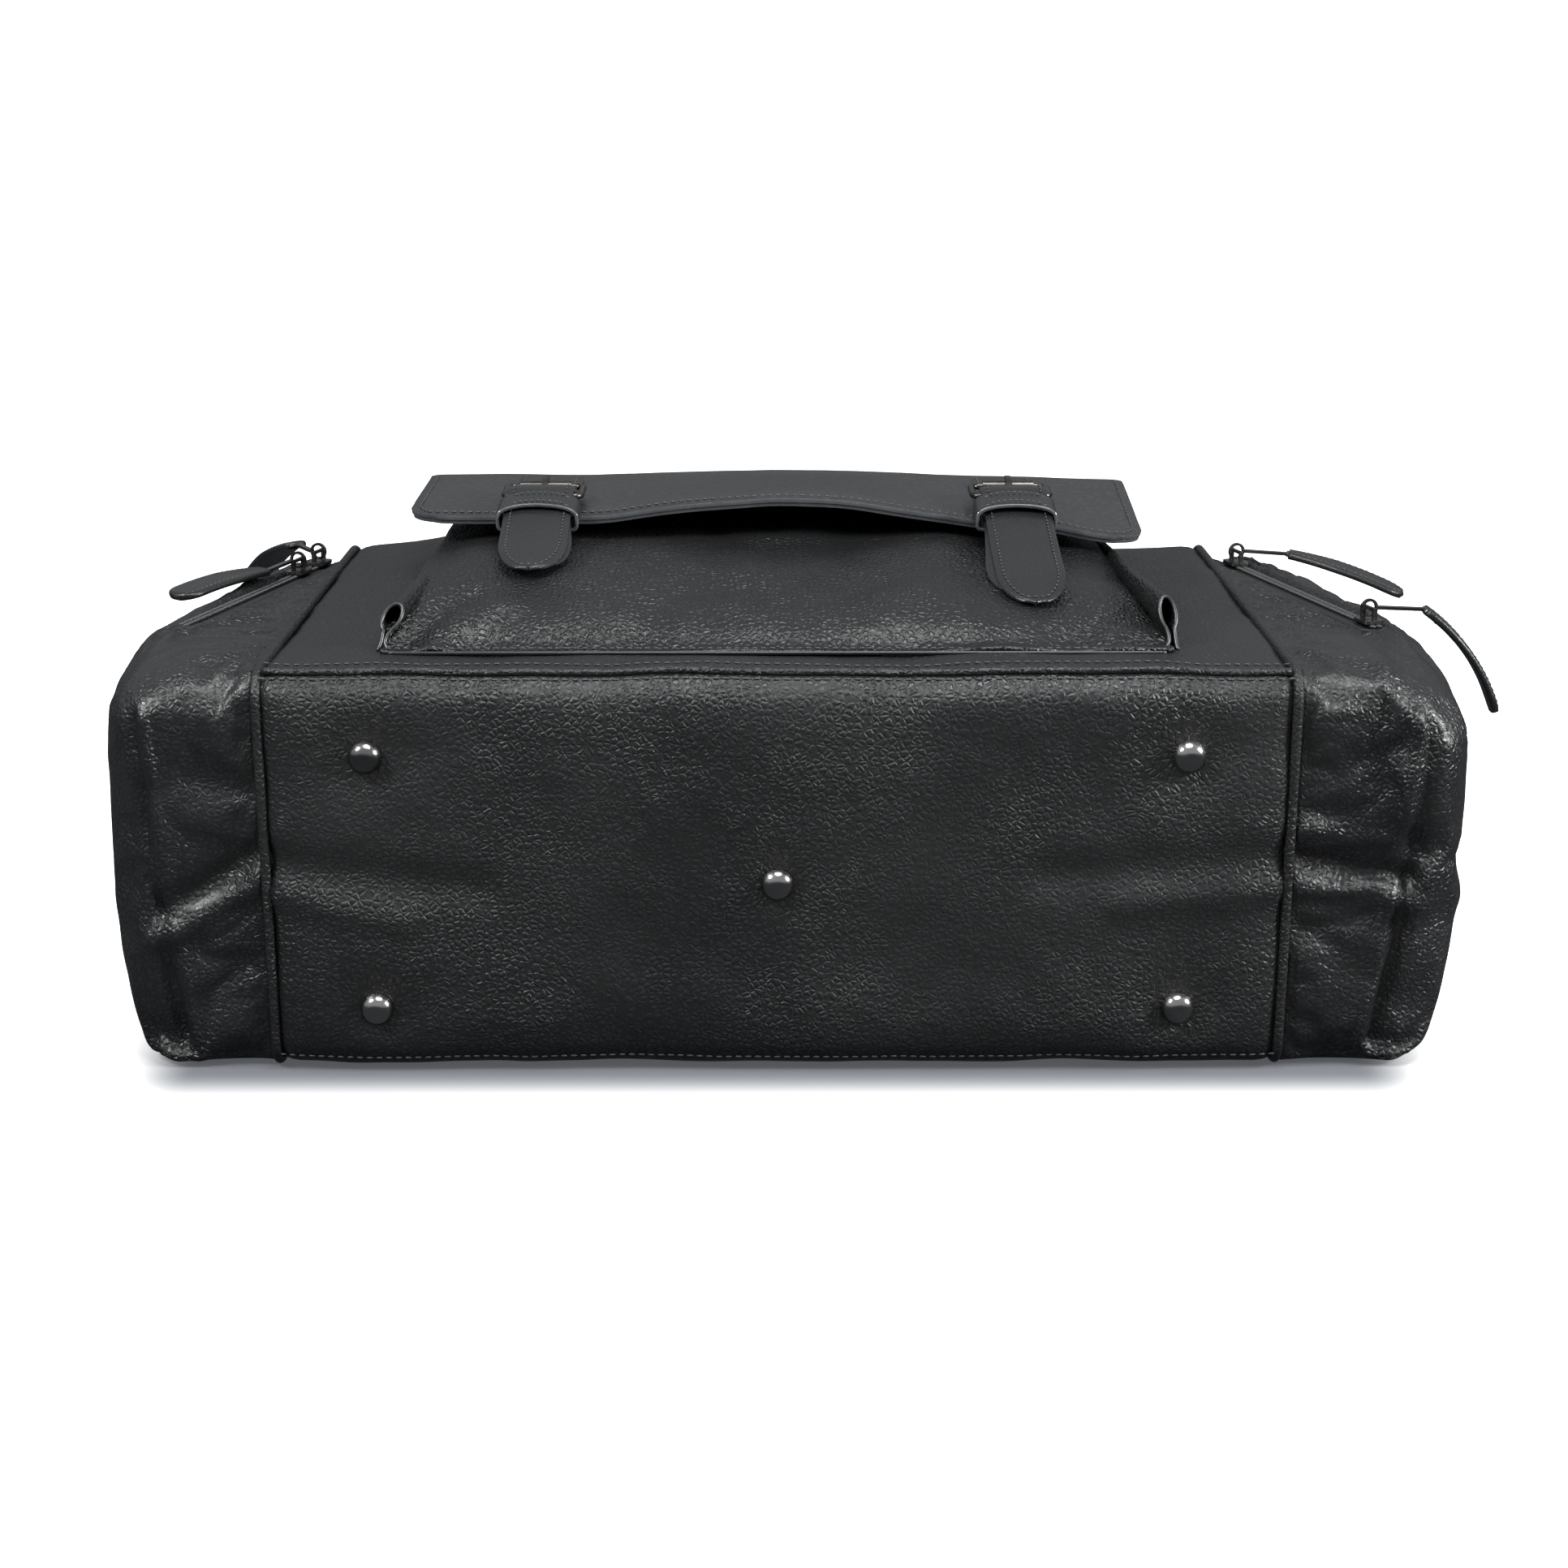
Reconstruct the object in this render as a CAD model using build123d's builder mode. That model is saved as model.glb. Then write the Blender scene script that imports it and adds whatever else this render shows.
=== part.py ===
from build123d import *

import os
from math import atan, cos, radians, sin, sqrt

# A duffel-shaped leather diaper bag lying on its back panel.
#
# Frame: origin at the centre of the back panel's resting face. +Z comes out of the front panel,
# -Y comes out of the base with its five feet, +Y out of the zipped top, +X is the right-hand end.
#
# The main body is one cross-section in the YZ plane, drawn out along X and cut into base, front,
# back and top panels. Each end carries a tapering zipped pocket, and the front panel a flapped
# pocket with two roller buckles. All lengths are in millimetres.

# ---------------------------------------------------------------- driving dimensions
bag_height = 290.0  # from the base to the zipped top
body_length = 410.0  # of the main compartment, without the end pockets
base_depth = 170.0  # front to back at the base
top_depth = 158.0  # front to back at the top
base_corner_r = 12.0
top_corner_r = 25.0
wall = 3.0  # leather, foam and lining together
pocket_wall = 2.5
end_pocket_depth = 72.0  # how far an end pocket stands out from the body
leather = 2.4  # one strap layer
gap = 0.4  # between pieces that move past each other

# ---------------------------------------------------------------- derived places
half_length = body_length / 2
base_y = -bag_height / 2
top_y = bag_height / 2
front_slope = (base_depth - top_depth) / bag_height
base_seam_y = base_y + 7  # where the base panel meets the front and back panels
top_seam_front = top_depth - top_corner_r  # the top panels hang between these two heights
top_seam_back = top_corner_r
mouth_z = (top_seam_front + top_seam_back) / 2  # the main zip's line
mouth_half = 6.0  # half of the gap between the two leather edges of the mouth
hinged_half = 170.0  # the top panels fold open between these two ends
end_panel_x = half_length + 3.2  # outer face of an end panel
pieces = {}


def front_z(y):
    """Height of the front panel's outer face at y."""
    return base_depth - front_slope * (y - base_y)


def body_section(grow=0.0):
    """The body's cross-section, offset outwards by grow."""
    with BuildSketch() as section:
        with BuildLine():
            Polyline((base_y, 0), (top_y, 0), (top_y, top_depth), (base_y, base_depth), close=True)
        make_face()
        fillet(section.vertices().group_by(Axis.X)[0], base_corner_r)
        fillet(section.vertices().group_by(Axis.X)[-1], top_corner_r)
        if grow:
            offset(amount=grow)
    return section.sketch


def span(x_range, y_range, z_range, mode=Mode.INTERSECT):
    """A box between pairs of coordinates, which trims the part being built."""
    middle = [(low + high) / 2 for low, high in (x_range, y_range, z_range)]
    size = [high - low for low, high in (x_range, y_range, z_range)]
    with Locations(tuple(middle)):
        Box(*size, mode=mode)


def mirrored(piece):
    """The same piece on the other end of the bag."""
    with BuildPart() as other:
        add(mirror(piece.part, about=Plane.YZ, mode=Mode.PRIVATE))
    return other


def ribbon(points, thickness, width, x_centre, bend=4.0):
    """A strap layer: a bent line in the YZ plane with a thickness, drawn out across its width."""
    with BuildPart() as strip:
        with BuildSketch(Plane.YZ.offset(x_centre - width / 2)):
            with BuildLine():
                FilletPolyline(*points, radius=bend)
            trace(line_width=thickness)
        extrude(amount=width)
    return strip


# ---------------------------------------------------------------- body panels
with BuildPart() as body_ring:
    with BuildSketch(Plane.YZ.offset(-half_length)):
        add(body_section())
        add(body_section(-wall), mode=Mode.SUBTRACT)
    extrude(amount=body_length)

long_x = (-half_length - 1, half_length + 1)
foot_spots = [(-164, 28), (164, 28), (0, 82), (-164, 136), (164, 136)]  # X and Z of each foot
shank_r = 1.5
base_plane = Plane(origin=(0, base_y, 0), x_dir=(1, 0, 0), z_dir=(0, -1, 0))

with BuildPart() as base_panel:
    add(body_ring.part)
    span(long_x, (base_y - 1, base_seam_y), (-1, base_depth + 1))
    with BuildSketch(base_plane.offset(1)):
        with Locations(*foot_spots):
            Circle(shank_r + 0.05)
    extrude(amount=-wall - 2, mode=Mode.SUBTRACT)
pieces["base_panel"] = base_panel

with BuildPart() as front_panel:
    add(body_ring.part)
    span(long_x, (base_seam_y, top_y + 1), (top_seam_front, base_depth + 1))
pieces["front_panel"] = front_panel

with BuildPart() as back_panel:
    add(body_ring.part)
    span(long_x, (base_seam_y, top_y + 1), (-1, top_seam_back))
pieces["back_panel"] = back_panel

top_band = (top_y - wall - 0.5, top_y + 1)
with BuildPart() as top_front_panel:
    add(body_ring.part)
    span((-hinged_half, hinged_half), top_band, (mouth_z + mouth_half, top_seam_front - gap))
pieces["top_front_panel"] = top_front_panel

with BuildPart() as top_back_panel:
    add(body_ring.part)
    span((-hinged_half, hinged_half), top_band, (top_seam_back + gap, mouth_z - mouth_half))
pieces["top_back_panel"] = top_back_panel

# The top panel's two fixed ends, where the main zip starts and stops.
mouth_end_x = half_length - 6
with BuildPart() as zip_end_panels:
    add(body_ring.part)
    span(long_x, top_band, (top_seam_back, top_seam_front))
    span((-hinged_half - gap, hinged_half + gap), top_band, (0, base_depth), Mode.SUBTRACT)
    mouth_band = (mouth_z - mouth_half, mouth_z + mouth_half)
    span((-mouth_end_x, mouth_end_x), top_band, mouth_band, Mode.SUBTRACT)
pieces["zip_end_panels"] = zip_end_panels

piping_size = 3.0
with BuildPart() as right_end_panel:
    with BuildSketch(Plane.YZ.offset(half_length)):
        add(body_section(-piping_size - 0.1))
    extrude(amount=end_panel_x - half_length)
pieces["right_end_panel"] = right_end_panel
pieces["left_end_panel"] = mirrored(right_end_panel)

with BuildPart() as end_piping:
    with BuildSketch(Plane.YZ.offset(half_length)):
        add(body_section(-0.1))
        add(body_section(-piping_size), mode=Mode.SUBTRACT)
    extrude(amount=piping_size)
    fillet(end_piping.faces().sort_by(Axis.X)[-1].edges(), 1.1)
    add(mirrored(end_piping).part)
pieces["end_piping"] = end_piping

# The base seams carry a piping cord that sits on the rounded corner.
cord_r = 1.5
seam_run = base_corner_r - (base_seam_y - base_y)
seam_rise = sqrt(base_corner_r**2 - seam_run**2)
reach = (base_corner_r + cord_r) / base_corner_r
cord_y = base_y + base_corner_r - seam_run * reach
cord_z = base_depth - base_corner_r + seam_rise * reach - front_slope * base_corner_r
with BuildPart() as base_piping:
    with BuildSketch(Plane.YZ.offset(-half_length)):
        with Locations((cord_y, cord_z)):
            Circle(cord_r)
    extrude(amount=body_length)
pieces["base_piping"] = base_piping

board = 2.6
board_y = base_y + wall + 0.2
with BuildPart() as base_board:
    span((-half_length + 6, half_length - 6), (board_y, board_y + board), (14, 156), Mode.ADD)
    with BuildSketch(base_plane.offset(1)):
        with Locations(*foot_spots):
            Circle(shank_r + 0.05)
    extrude(amount=-wall - board - 3, mode=Mode.SUBTRACT)
pieces["base_board"] = base_board

# ---------------------------------------------------------------- feet and their washers
foot_r, foot_height, foot_tip_r = 7.0, 6.2, 2.2
with BuildPart() as foot:
    with BuildSketch(Plane.XZ):
        with BuildLine():
            Polyline((0, foot_height), (0, 0), (foot_r, 0), (foot_r, 1))
            ThreePointArc((foot_r, 1), (5.4, 4.7), (foot_tip_r, foot_height))
            Line((foot_tip_r, foot_height), (0, foot_height))
        make_face()
    revolve(axis=Axis.Z)
    with Locations((0, 0, -4.5)):
        Cylinder(shank_r, 9)

with BuildPart(base_plane) as base_feet:
    with Locations(*foot_spots):
        add(foot.part)
pieces["base_feet"] = base_feet

washer_top = -(wall + 0.2 + board)
with BuildPart() as foot_washers:
    with BuildSketch(base_plane.offset(washer_top)):
        with Locations(*foot_spots):
            Circle(6)
            Circle(shank_r + 0.05, mode=Mode.SUBTRACT)
    extrude(amount=-1)
pieces["foot_washers"] = foot_washers


# ---------------------------------------------------------------- zips
chain_gap = 0.8  # half of the gap that the slider's wedge runs in
coil_width, coil_thick = 2.0, 2.2
tape_width, tape_thick = 7.0, 0.7
coil_rise = 0.1  # how far the middle of the coil stands above the leather's inner face


def zip_half(plane, length, hand, sink):
    """One tape with its coil. The plane's origin is on the leather's outer face at the chain's
    start, its x runs along the chain, hand is this half's side of the chain, and sink is the
    leather's thickness."""
    middle = length / 2
    with BuildPart(plane) as half:
        with Locations((middle, hand * (chain_gap + coil_width / 2), coil_rise - sink)):
            Box(length, coil_width, coil_thick)
        with Locations((middle, hand * (chain_gap + 1 + tape_width / 2), -sink - 0.1 - tape_thick / 2)):
            Box(length, tape_width, tape_thick)
    return half


slider_length, slider_width, plate = 13.0, 9.4, 1.3
slider_gap = 0.3
bail_z = 5.0  # height of the bail's bar above the leather's face
bail_wire = 1.4
bail_post = 5.2  # from the slider's middle to each post of the bail


def slider(plane, at, sink):
    """A zip slider round both coils: two plates, the wedge between the coils, and the bail."""
    top_z = coil_rise - sink + coil_thick / 2 + slider_gap
    bottom_z = coil_rise - sink - coil_thick / 2 - slider_gap
    with BuildPart(plane) as body:
        for face_z, thickness in ((top_z, plate), (bottom_z, -plate)):
            with BuildSketch(plane.offset(face_z)):
                with Locations((at, 0)):
                    RectangleRounded(slider_length, slider_width, 2.6)
            extrude(amount=thickness)
        with Locations((at + 3.4, 0, (top_z + bottom_z) / 2)):
            Box(4, chain_gap, top_z - bottom_z + 1)
        post_bottom = top_z + plate - 0.5
        post_top = bail_z + bail_wire / 2
        for post_x in (at - bail_post, at + bail_post):
            with Locations((post_x, 0, (post_bottom + post_top) / 2)):
                Box(bail_wire, 2.0, post_top - post_bottom)
        with Locations((at, 0, bail_z)):
            Box(2 * bail_post + bail_wire, bail_wire, bail_wire)
    return body


ring_outer, ring_bore = 4.0, 2.8
link_thick, link_width = 1.4, 2.4
tongue_length, tongue_width = 8.0, 8.0  # the link's flat end, sewn inside the leather
tab_width, tab_neck, tab_thick = 18.0, 12.0, 3.4


def pull_plane(pivot, heading, droop):
    """x runs from the pivot along the pull, z is out of its upper face."""
    turn, drop = radians(heading), radians(droop)
    along = (cos(turn) * cos(drop), sin(turn) * cos(drop), -sin(drop))
    up = (cos(turn) * sin(drop), sin(turn) * sin(drop), cos(drop))
    return Plane(origin=pivot, x_dir=along, z_dir=up)


def pull(link_plane, bar, bend, link_run, tab_run):
    """A pull's metal link and leather tab. The link's ring stands round the slider's bail, whose
    direction is bar. The tab hangs bend degrees lower than the link."""
    tab_plane = Plane(link_plane.location * Location((link_run, 0, 0), (0, bend, 0)))
    pivot, along = link_plane.origin, link_plane.x_dir
    across = (along - bar * along.dot(bar)).normalized()
    start = pivot + across * (ring_outer + ring_bore) / 2
    stem = tab_plane.origin - start
    with BuildPart() as link:
        with BuildSketch(Plane(origin=pivot - bar * link_thick / 2, z_dir=bar)):
            Circle(ring_outer)
            Circle(ring_bore, mode=Mode.SUBTRACT)
        extrude(amount=link_thick)
        stem_plane = Plane(origin=start, x_dir=stem, z_dir=link_plane.z_dir)
        with BuildSketch(stem_plane.offset(-link_thick / 2)):
            with Locations((stem.length / 2, 0)):
                Rectangle(stem.length, link_width)
        extrude(amount=link_thick)
        with BuildSketch(tab_plane.offset(-link_thick / 2)):
            with Locations((tongue_length / 2 - 0.6, 0)):
                RectangleRounded(tongue_length, tongue_width, 1.2)
        extrude(amount=link_thick)
    shoulder, cap = tab_run * 0.38, tab_run - tab_width / 2
    with BuildPart() as tab:
        with BuildSketch(tab_plane.offset(-tab_thick / 2)):
            with BuildLine():
                Polyline((shoulder, -tab_width / 2), (0.6, -tab_neck / 2), (0.6, tab_neck / 2))
                Polyline((0.6, tab_neck / 2), (shoulder, tab_width / 2), (cap, tab_width / 2))
                ThreePointArc((cap, tab_width / 2), (tab_run, 0), (cap, -tab_width / 2))
                Line((cap, -tab_width / 2), (shoulder, -tab_width / 2))
            make_face()
        extrude(amount=tab_thick)
        with BuildSketch(tab_plane.offset(-link_thick / 2 - 0.1)):
            with Locations((tongue_length / 2 - 0.6, 0)):
                Rectangle(tongue_length + 0.4, tongue_width + 0.4)
        extrude(amount=link_thick + 0.2, mode=Mode.SUBTRACT)
        with BuildSketch(stem_plane.offset(-link_thick / 2 - 0.1)):
            with Locations((stem.length / 2, 0)):
                Rectangle(stem.length + 1, link_width + 0.4)
        extrude(amount=link_thick + 0.2, mode=Mode.SUBTRACT)
    return link, tab


# The main zip: one half on each top panel, and fixed ends where the slider parks.
def mouth_plane(start_x):
    """A zip plane on the top's outer face, with its origin at start_x on the mouth's line."""
    return Plane(origin=(start_x, top_y, mouth_z), x_dir=(1, 0, 0), z_dir=(0, 1, 0))


main_length = 2 * hinged_half - 1
parked_length = 28.0
pieces["main_zip_front_half"] = zip_half(mouth_plane(-main_length / 2), main_length, -1, wall)
pieces["main_zip_back_half"] = zip_half(mouth_plane(-main_length / 2), main_length, 1, wall)

with BuildPart() as main_zip_ends:
    for start_x in (-hinged_half - 0.5 - parked_length, hinged_half + 0.5):
        add(zip_half(mouth_plane(start_x), parked_length, 1, wall).part)
        add(zip_half(mouth_plane(start_x), parked_length, -1, wall).part)
    for side in (-1, 1):
        stop_x = side * (hinged_half + parked_length - 1)
        stop_y = (top_y - wall - 1.2, top_y - 0.5)
        span((stop_x - 1.5, stop_x + 1.5), stop_y, (mouth_z - 4, mouth_z + 4), Mode.ADD)
pieces["main_zip_ends"] = main_zip_ends

main_park = hinged_half + 14  # the slider's parked distance from the middle
pieces["main_slider"] = slider(mouth_plane(0), -main_park, wall)
main_pivot = Vector(-main_park, top_y + bail_z, mouth_z)
hanging = Plane(origin=main_pivot, x_dir=(0, 0, -1), z_dir=(0, 1, 0))
pieces["main_pull_link"], pieces["main_pull_tab"] = pull(hanging, Vector(1, 0, 0), 0, 14, 40)

# ---------------------------------------------------------------- end pockets
fold_x = 258.0  # the ridge between an end pocket's gusset and its face
outer_x = half_length + end_pocket_depth + 3
taper_y = base_y + 102  # the pocket narrows from here to its top
pocket_top_y = base_y + 262
pocket_start_x = end_panel_x + 0.2
lean = (-44.0, 158.0)  # the run of the slanted zip in X and Y
lean_length = sqrt(lean[0] ** 2 + lean[1] ** 2)


def end_pocket_solid(shrink, x_inner):
    """The right end pocket's outer shape, pulled in by shrink on every face but the inboard one."""
    edge = pocket_top_y - shrink
    with BuildPart() as solid:
        with BuildSketch(Plane.XY):
            with BuildLine():
                Polyline(
                    (x_inner, base_y + 3 + shrink),
                    (outer_x - 14 - shrink, base_y + 3 + shrink),
                    (outer_x - shrink, base_y + 20),
                    (outer_x - shrink, taper_y),
                    (228 - shrink, edge),
                    (x_inner, edge),
                    close=True,
                )
            make_face()
        extrude(amount=base_depth + 10)
        with BuildSketch(Plane.YZ.offset(x_inner - 1)):
            add(body_section(-1.5 - shrink))
        extrude(amount=end_pocket_depth + 20, mode=Mode.INTERSECT)
        with BuildSketch(Plane.XZ.offset(-top_y - 5)) as face_on:
            with BuildLine():
                Polyline(
                    (x_inner, 0),
                    (outer_x - shrink, 0),
                    (outer_x - shrink, base_depth - 1.5 - shrink),
                    (x_inner, base_depth - 1.5 - shrink),
                    close=True,
                )
            make_face()
            fillet(face_on.vertices().group_by(Axis.X)[-1], 15)
        extrude(amount=bag_height + 20, mode=Mode.INTERSECT)
    return solid


def pocket_face_z(y):
    """Height of an end pocket's upper face at y."""
    return front_z(y) - 1.5


zip_start_y = base_y + 100
zip_length = 152.0
end_zip_plane = Plane(
    origin=(fold_x, zip_start_y, pocket_face_z(zip_start_y)),
    x_dir=(lean[0] / lean_length, lean[1] / lean_length, -front_slope * lean[1] / lean_length),
    z_dir=(0, front_slope, 1),
)

with BuildPart() as end_pocket_shell:
    add(end_pocket_solid(0, pocket_start_x).part)
    add(end_pocket_solid(pocket_wall, pocket_start_x - 1).part, mode=Mode.SUBTRACT)
    slot_centre = end_zip_plane.from_local_coords((zip_length / 2, 0, -4))
    with BuildSketch(Plane(slot_centre, x_dir=end_zip_plane.x_dir, z_dir=end_zip_plane.z_dir)):
        Rectangle(zip_length, 2 * mouth_half)
    extrude(amount=12, mode=Mode.SUBTRACT)

with BuildPart() as face_side:
    with BuildSketch(Plane.XY.offset(-5)):
        with BuildLine():
            Polyline(
                (fold_x, base_y - 10),
                (outer_x + 20, base_y - 10),
                (outer_x + 20, top_y),
                (fold_x + lean[0] * 1.2, zip_start_y + lean[1] * 1.2),
                (fold_x, zip_start_y),
                close=True,
            )
        make_face()
    extrude(amount=base_depth + 20)

with BuildPart() as right_pocket_gusset:
    add(end_pocket_shell.part)
    add(face_side.part, mode=Mode.SUBTRACT)
with BuildPart() as right_pocket_face:
    add(end_pocket_shell.part)
    add(face_side.part, mode=Mode.INTERSECT)
pieces["right_pocket_gusset"] = right_pocket_gusset
pieces["right_pocket_face"] = right_pocket_face
pieces["left_pocket_gusset"] = mirrored(right_pocket_gusset)
pieces["left_pocket_face"] = mirrored(right_pocket_face)

with BuildPart() as right_end_zip:
    add(zip_half(end_zip_plane, zip_length - 0.4, 1, pocket_wall).part)
    add(zip_half(end_zip_plane, zip_length - 0.4, -1, pocket_wall).part)
pieces["right_end_zip"] = right_end_zip
pieces["left_end_zip"] = mirrored(right_end_zip)

# Each end zip has two sliders. A slider is given by its distance along the chain and its side,
# and its pull by the way that it lies: heading, the link's droop and the tab's further bend.
link_run, tab_run = 24.0, 58.0
end_pulls = {
    "right_near": (8.0, 1, -2, 1, 48),
    "right_far": (143.0, 1, -13, 0, 15),
    "left_near": (122.0, -1, 238, 1, -2.5),
    "left_far": (144.5, -1, 125, 3, 22),
}
for name, (at, side, heading, droop, bend) in end_pulls.items():
    body = slider(end_zip_plane, at, pocket_wall)
    pieces[name + "_slider"] = body if side > 0 else mirrored(body)
    point = end_zip_plane.from_local_coords(Vector(at, 0, bail_z))
    pivot = Vector(side * point.X, point.Y, point.Z)
    chain = end_zip_plane.x_dir
    bar = Vector(side * chain.X, chain.Y, chain.Z)
    link, tab = pull(pull_plane(pivot, heading, droop), bar, bend, link_run, tab_run)
    pieces[name + "_pull_link"] = link
    pieces[name + "_pull_tab"] = tab

# ---------------------------------------------------------------- front pocket and its flap
pocket_half = 166.0
pocket_foot_y = base_y + 36
pocket_mouth_y = base_y + 200
pocket_back_y = base_y + 236
flap_front_y = base_y + 150
flap_fold_y = base_y + 242
flap_half = 164.0
flap_thick = 3.5
flap_top_z = 200.0
pocket_ridge = [(8, 176.5), (40, 186.0), (96, 190.0), (166, 192.0), (200, 192.5)]


def pocket_profile(shrink, floor_drop):
    """Side outline of the front pocket in Y and Z, standing on the front panel."""
    foot = pocket_foot_y + shrink
    with BuildSketch() as outline:
        with BuildLine():
            ridge = [(pocket_foot_y + run + shrink * 0.3, high - shrink) for run, high in pocket_ridge]
            Polyline(
                (foot, front_z(foot) + 0.1 - floor_drop),
                *ridge,
                (pocket_back_y, front_z(pocket_back_y) + 0.1 - floor_drop),
                close=True,
            )
        make_face()
    return outline.sketch


with BuildPart() as front_pocket:
    with BuildSketch(Plane.YZ.offset(-pocket_half)):
        add(pocket_profile(0, 0))
    extrude(amount=2 * pocket_half)
    with BuildSketch(Plane.YZ.offset(-pocket_half + pocket_wall)):
        add(pocket_profile(pocket_wall, 6))
    extrude(amount=2 * (pocket_half - pocket_wall), mode=Mode.SUBTRACT)
    inner_half = pocket_half - pocket_wall
    span((-inner_half, inner_half), (pocket_mouth_y, pocket_back_y + 3), (140, 210), Mode.SUBTRACT)
pieces["front_pocket"] = front_pocket

# The band that closes the pocket behind its mouth and carries the flap.
band_y = (pocket_back_y + 0.4, pocket_back_y + 3.0)
with BuildPart() as flap_band:
    band_foot = front_z(band_y[0]) + 0.1
    band_top = flap_top_z - flap_thick - gap
    span((-flap_half, flap_half), band_y, (band_foot, band_top), Mode.ADD)
    span((-flap_half, flap_half), (band_y[1], band_y[1] + 12), (band_foot, band_foot + 2.2), Mode.ADD)
pieces["flap_band"] = flap_band

with BuildPart() as pocket_flap:
    flap_middle = (flap_front_y + flap_fold_y) / 2
    with BuildSketch(Plane.XY.offset(flap_top_z - flap_thick)) as plan:
        with Locations((0, flap_middle)):
            Rectangle(2 * flap_half, flap_fold_y - flap_front_y)
        fillet(plan.vertices().group_by(Axis.Y)[0], 16)
    extrude(amount=flap_thick)
    fillet(pocket_flap.faces().sort_by(Axis.Z)[-1].edges().sort_by(Axis.Y)[:-1], 1.0)
pieces["pocket_flap"] = pocket_flap

# ---------------------------------------------------------------- buckle straps
strap_width = 29.0
bar_r = 1.5
roller_r, roller_length = 2.6, 23.0
hinge_y, roller_y = base_y + 165, base_y + 186
buckle_z = flap_top_z + 6.0
strap_half_x = 105.0
billet_line = [(222, 201.5), (183, 201.5), (170, 211), (163, 211.6), (154, 208), (142, 205.8), (103, 193.1)]
chape_line = [(164, 203.0), (155, 204.0), (144, 203.4), (112, 191.2)]


def shifted(line):
    """Strap points are given by their distance from the base."""
    return [(base_y + run, high) for run, high in line]


def billet(x_centre):
    """The strap sewn on the flap, which goes under the roller and ends in a round tip."""
    tip_y = base_y + 103
    with BuildPart() as strap:
        add(ribbon(shifted(billet_line), leather, strap_width, x_centre).part)
        with BuildSketch(Plane.XY.offset(180)) as plan:
            with Locations((x_centre, (tip_y + base_y + 230) / 2)):
                Rectangle(strap_width, base_y + 230 - tip_y)
            fillet(plan.vertices().group_by(Axis.Y)[0], strap_width / 2 - 0.1)
        extrude(amount=50, mode=Mode.INTERSECT)
        slot = (base_y + 160.8, base_y + 181)
        span((x_centre - 2.3, x_centre + 2.3), slot, (180, 230), Mode.SUBTRACT)
    return strap


chape_thick = leather - 0.2
stud_run = 121.0  # the snap's distance from the base
(fold_run, fold_z), (end_run, end_z) = chape_line[-2:]
chape_fall = (fold_z - end_z) / (fold_run - end_run)


def chape(x_centre):
    """The short under-strap whose fold holds the buckle's bar."""
    width = strap_width - 1
    with BuildPart() as strap:
        add(ribbon(shifted(chape_line), chape_thick, width, x_centre).part)
        with BuildSketch(Plane.YZ.offset(x_centre - width / 2)):
            with Locations((hinge_y, buckle_z)):
                Circle(3.9)
        extrude(amount=width)
        with BuildSketch(Plane.YZ.offset(x_centre - width / 2)):
            with Locations((hinge_y, buckle_z)):
                Circle(bar_r + 0.1)
        extrude(amount=width, mode=Mode.SUBTRACT)
        notch = (hinge_y - 4.6, hinge_y + 5)
        span((x_centre - 2.2, x_centre + 2.2), notch, (buckle_z - 5, buckle_z + 5), Mode.SUBTRACT)
    return strap


def stud(x_centre):
    """The snap's stud, under the chape's free end."""
    tilt = atan(chape_fall)
    stud_z = fold_z - (fold_run - stud_run) * chape_fall - chape_thick / 2 / cos(tilt)
    with BuildPart() as disc:
        under = (x_centre, base_y + stud_run, stud_z)
        with BuildSketch(Plane(origin=under, x_dir=(1, 0, 0), z_dir=(0, sin(tilt), -cos(tilt)))):
            Circle(5.5)
        extrude(amount=1.0)
    return disc


def keeper(x_centre):
    """The fixed loop that holds the billet's free end down."""
    half, low, high = strap_width / 2 + 2.2, flap_top_z + 0.1, flap_top_z + 12.0
    with BuildPart() as loop:
        with BuildSketch(Plane.XZ.offset(-(base_y + 155))):
            with Locations((x_centre, (low + high) / 2)):
                RectangleRounded(2 * half, high - low, 3)
                RectangleRounded(2 * half - 3, high - low - 3, 1.6, mode=Mode.SUBTRACT)
        extrude(amount=10)
    return loop


def buckle_frame(x_centre):
    """A closed round-wire frame with its hinge bar under the strap and its far bar in the roller."""
    half_x = strap_width / 2 + 2.6
    middle = (hinge_y + roller_y) / 2
    half_y = (roller_y - hinge_y) / 2
    with BuildPart() as frame:
        with BuildLine(Plane.XY.offset(buckle_z)) as wire:
            FilletPolyline(
                (x_centre + half_x, middle - half_y),
                (x_centre + half_x, middle + half_y),
                (x_centre - half_x, middle + half_y),
                (x_centre - half_x, middle - half_y),
                radius=3.5,
                close=True,
            )
        with BuildSketch(Plane(origin=wire.line @ 0, z_dir=wire.line % 0)):
            Circle(bar_r)
        sweep(path=wire.line)
    return frame


def roller(x_centre):
    """The tube that turns on the frame's far bar."""
    with BuildPart() as tube:
        with BuildSketch(Plane.YZ.offset(x_centre - roller_length / 2)):
            with Locations((roller_y, buckle_z)):
                Circle(roller_r)
                Circle(bar_r + 0.08, mode=Mode.SUBTRACT)
        extrude(amount=roller_length)
    return tube


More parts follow.
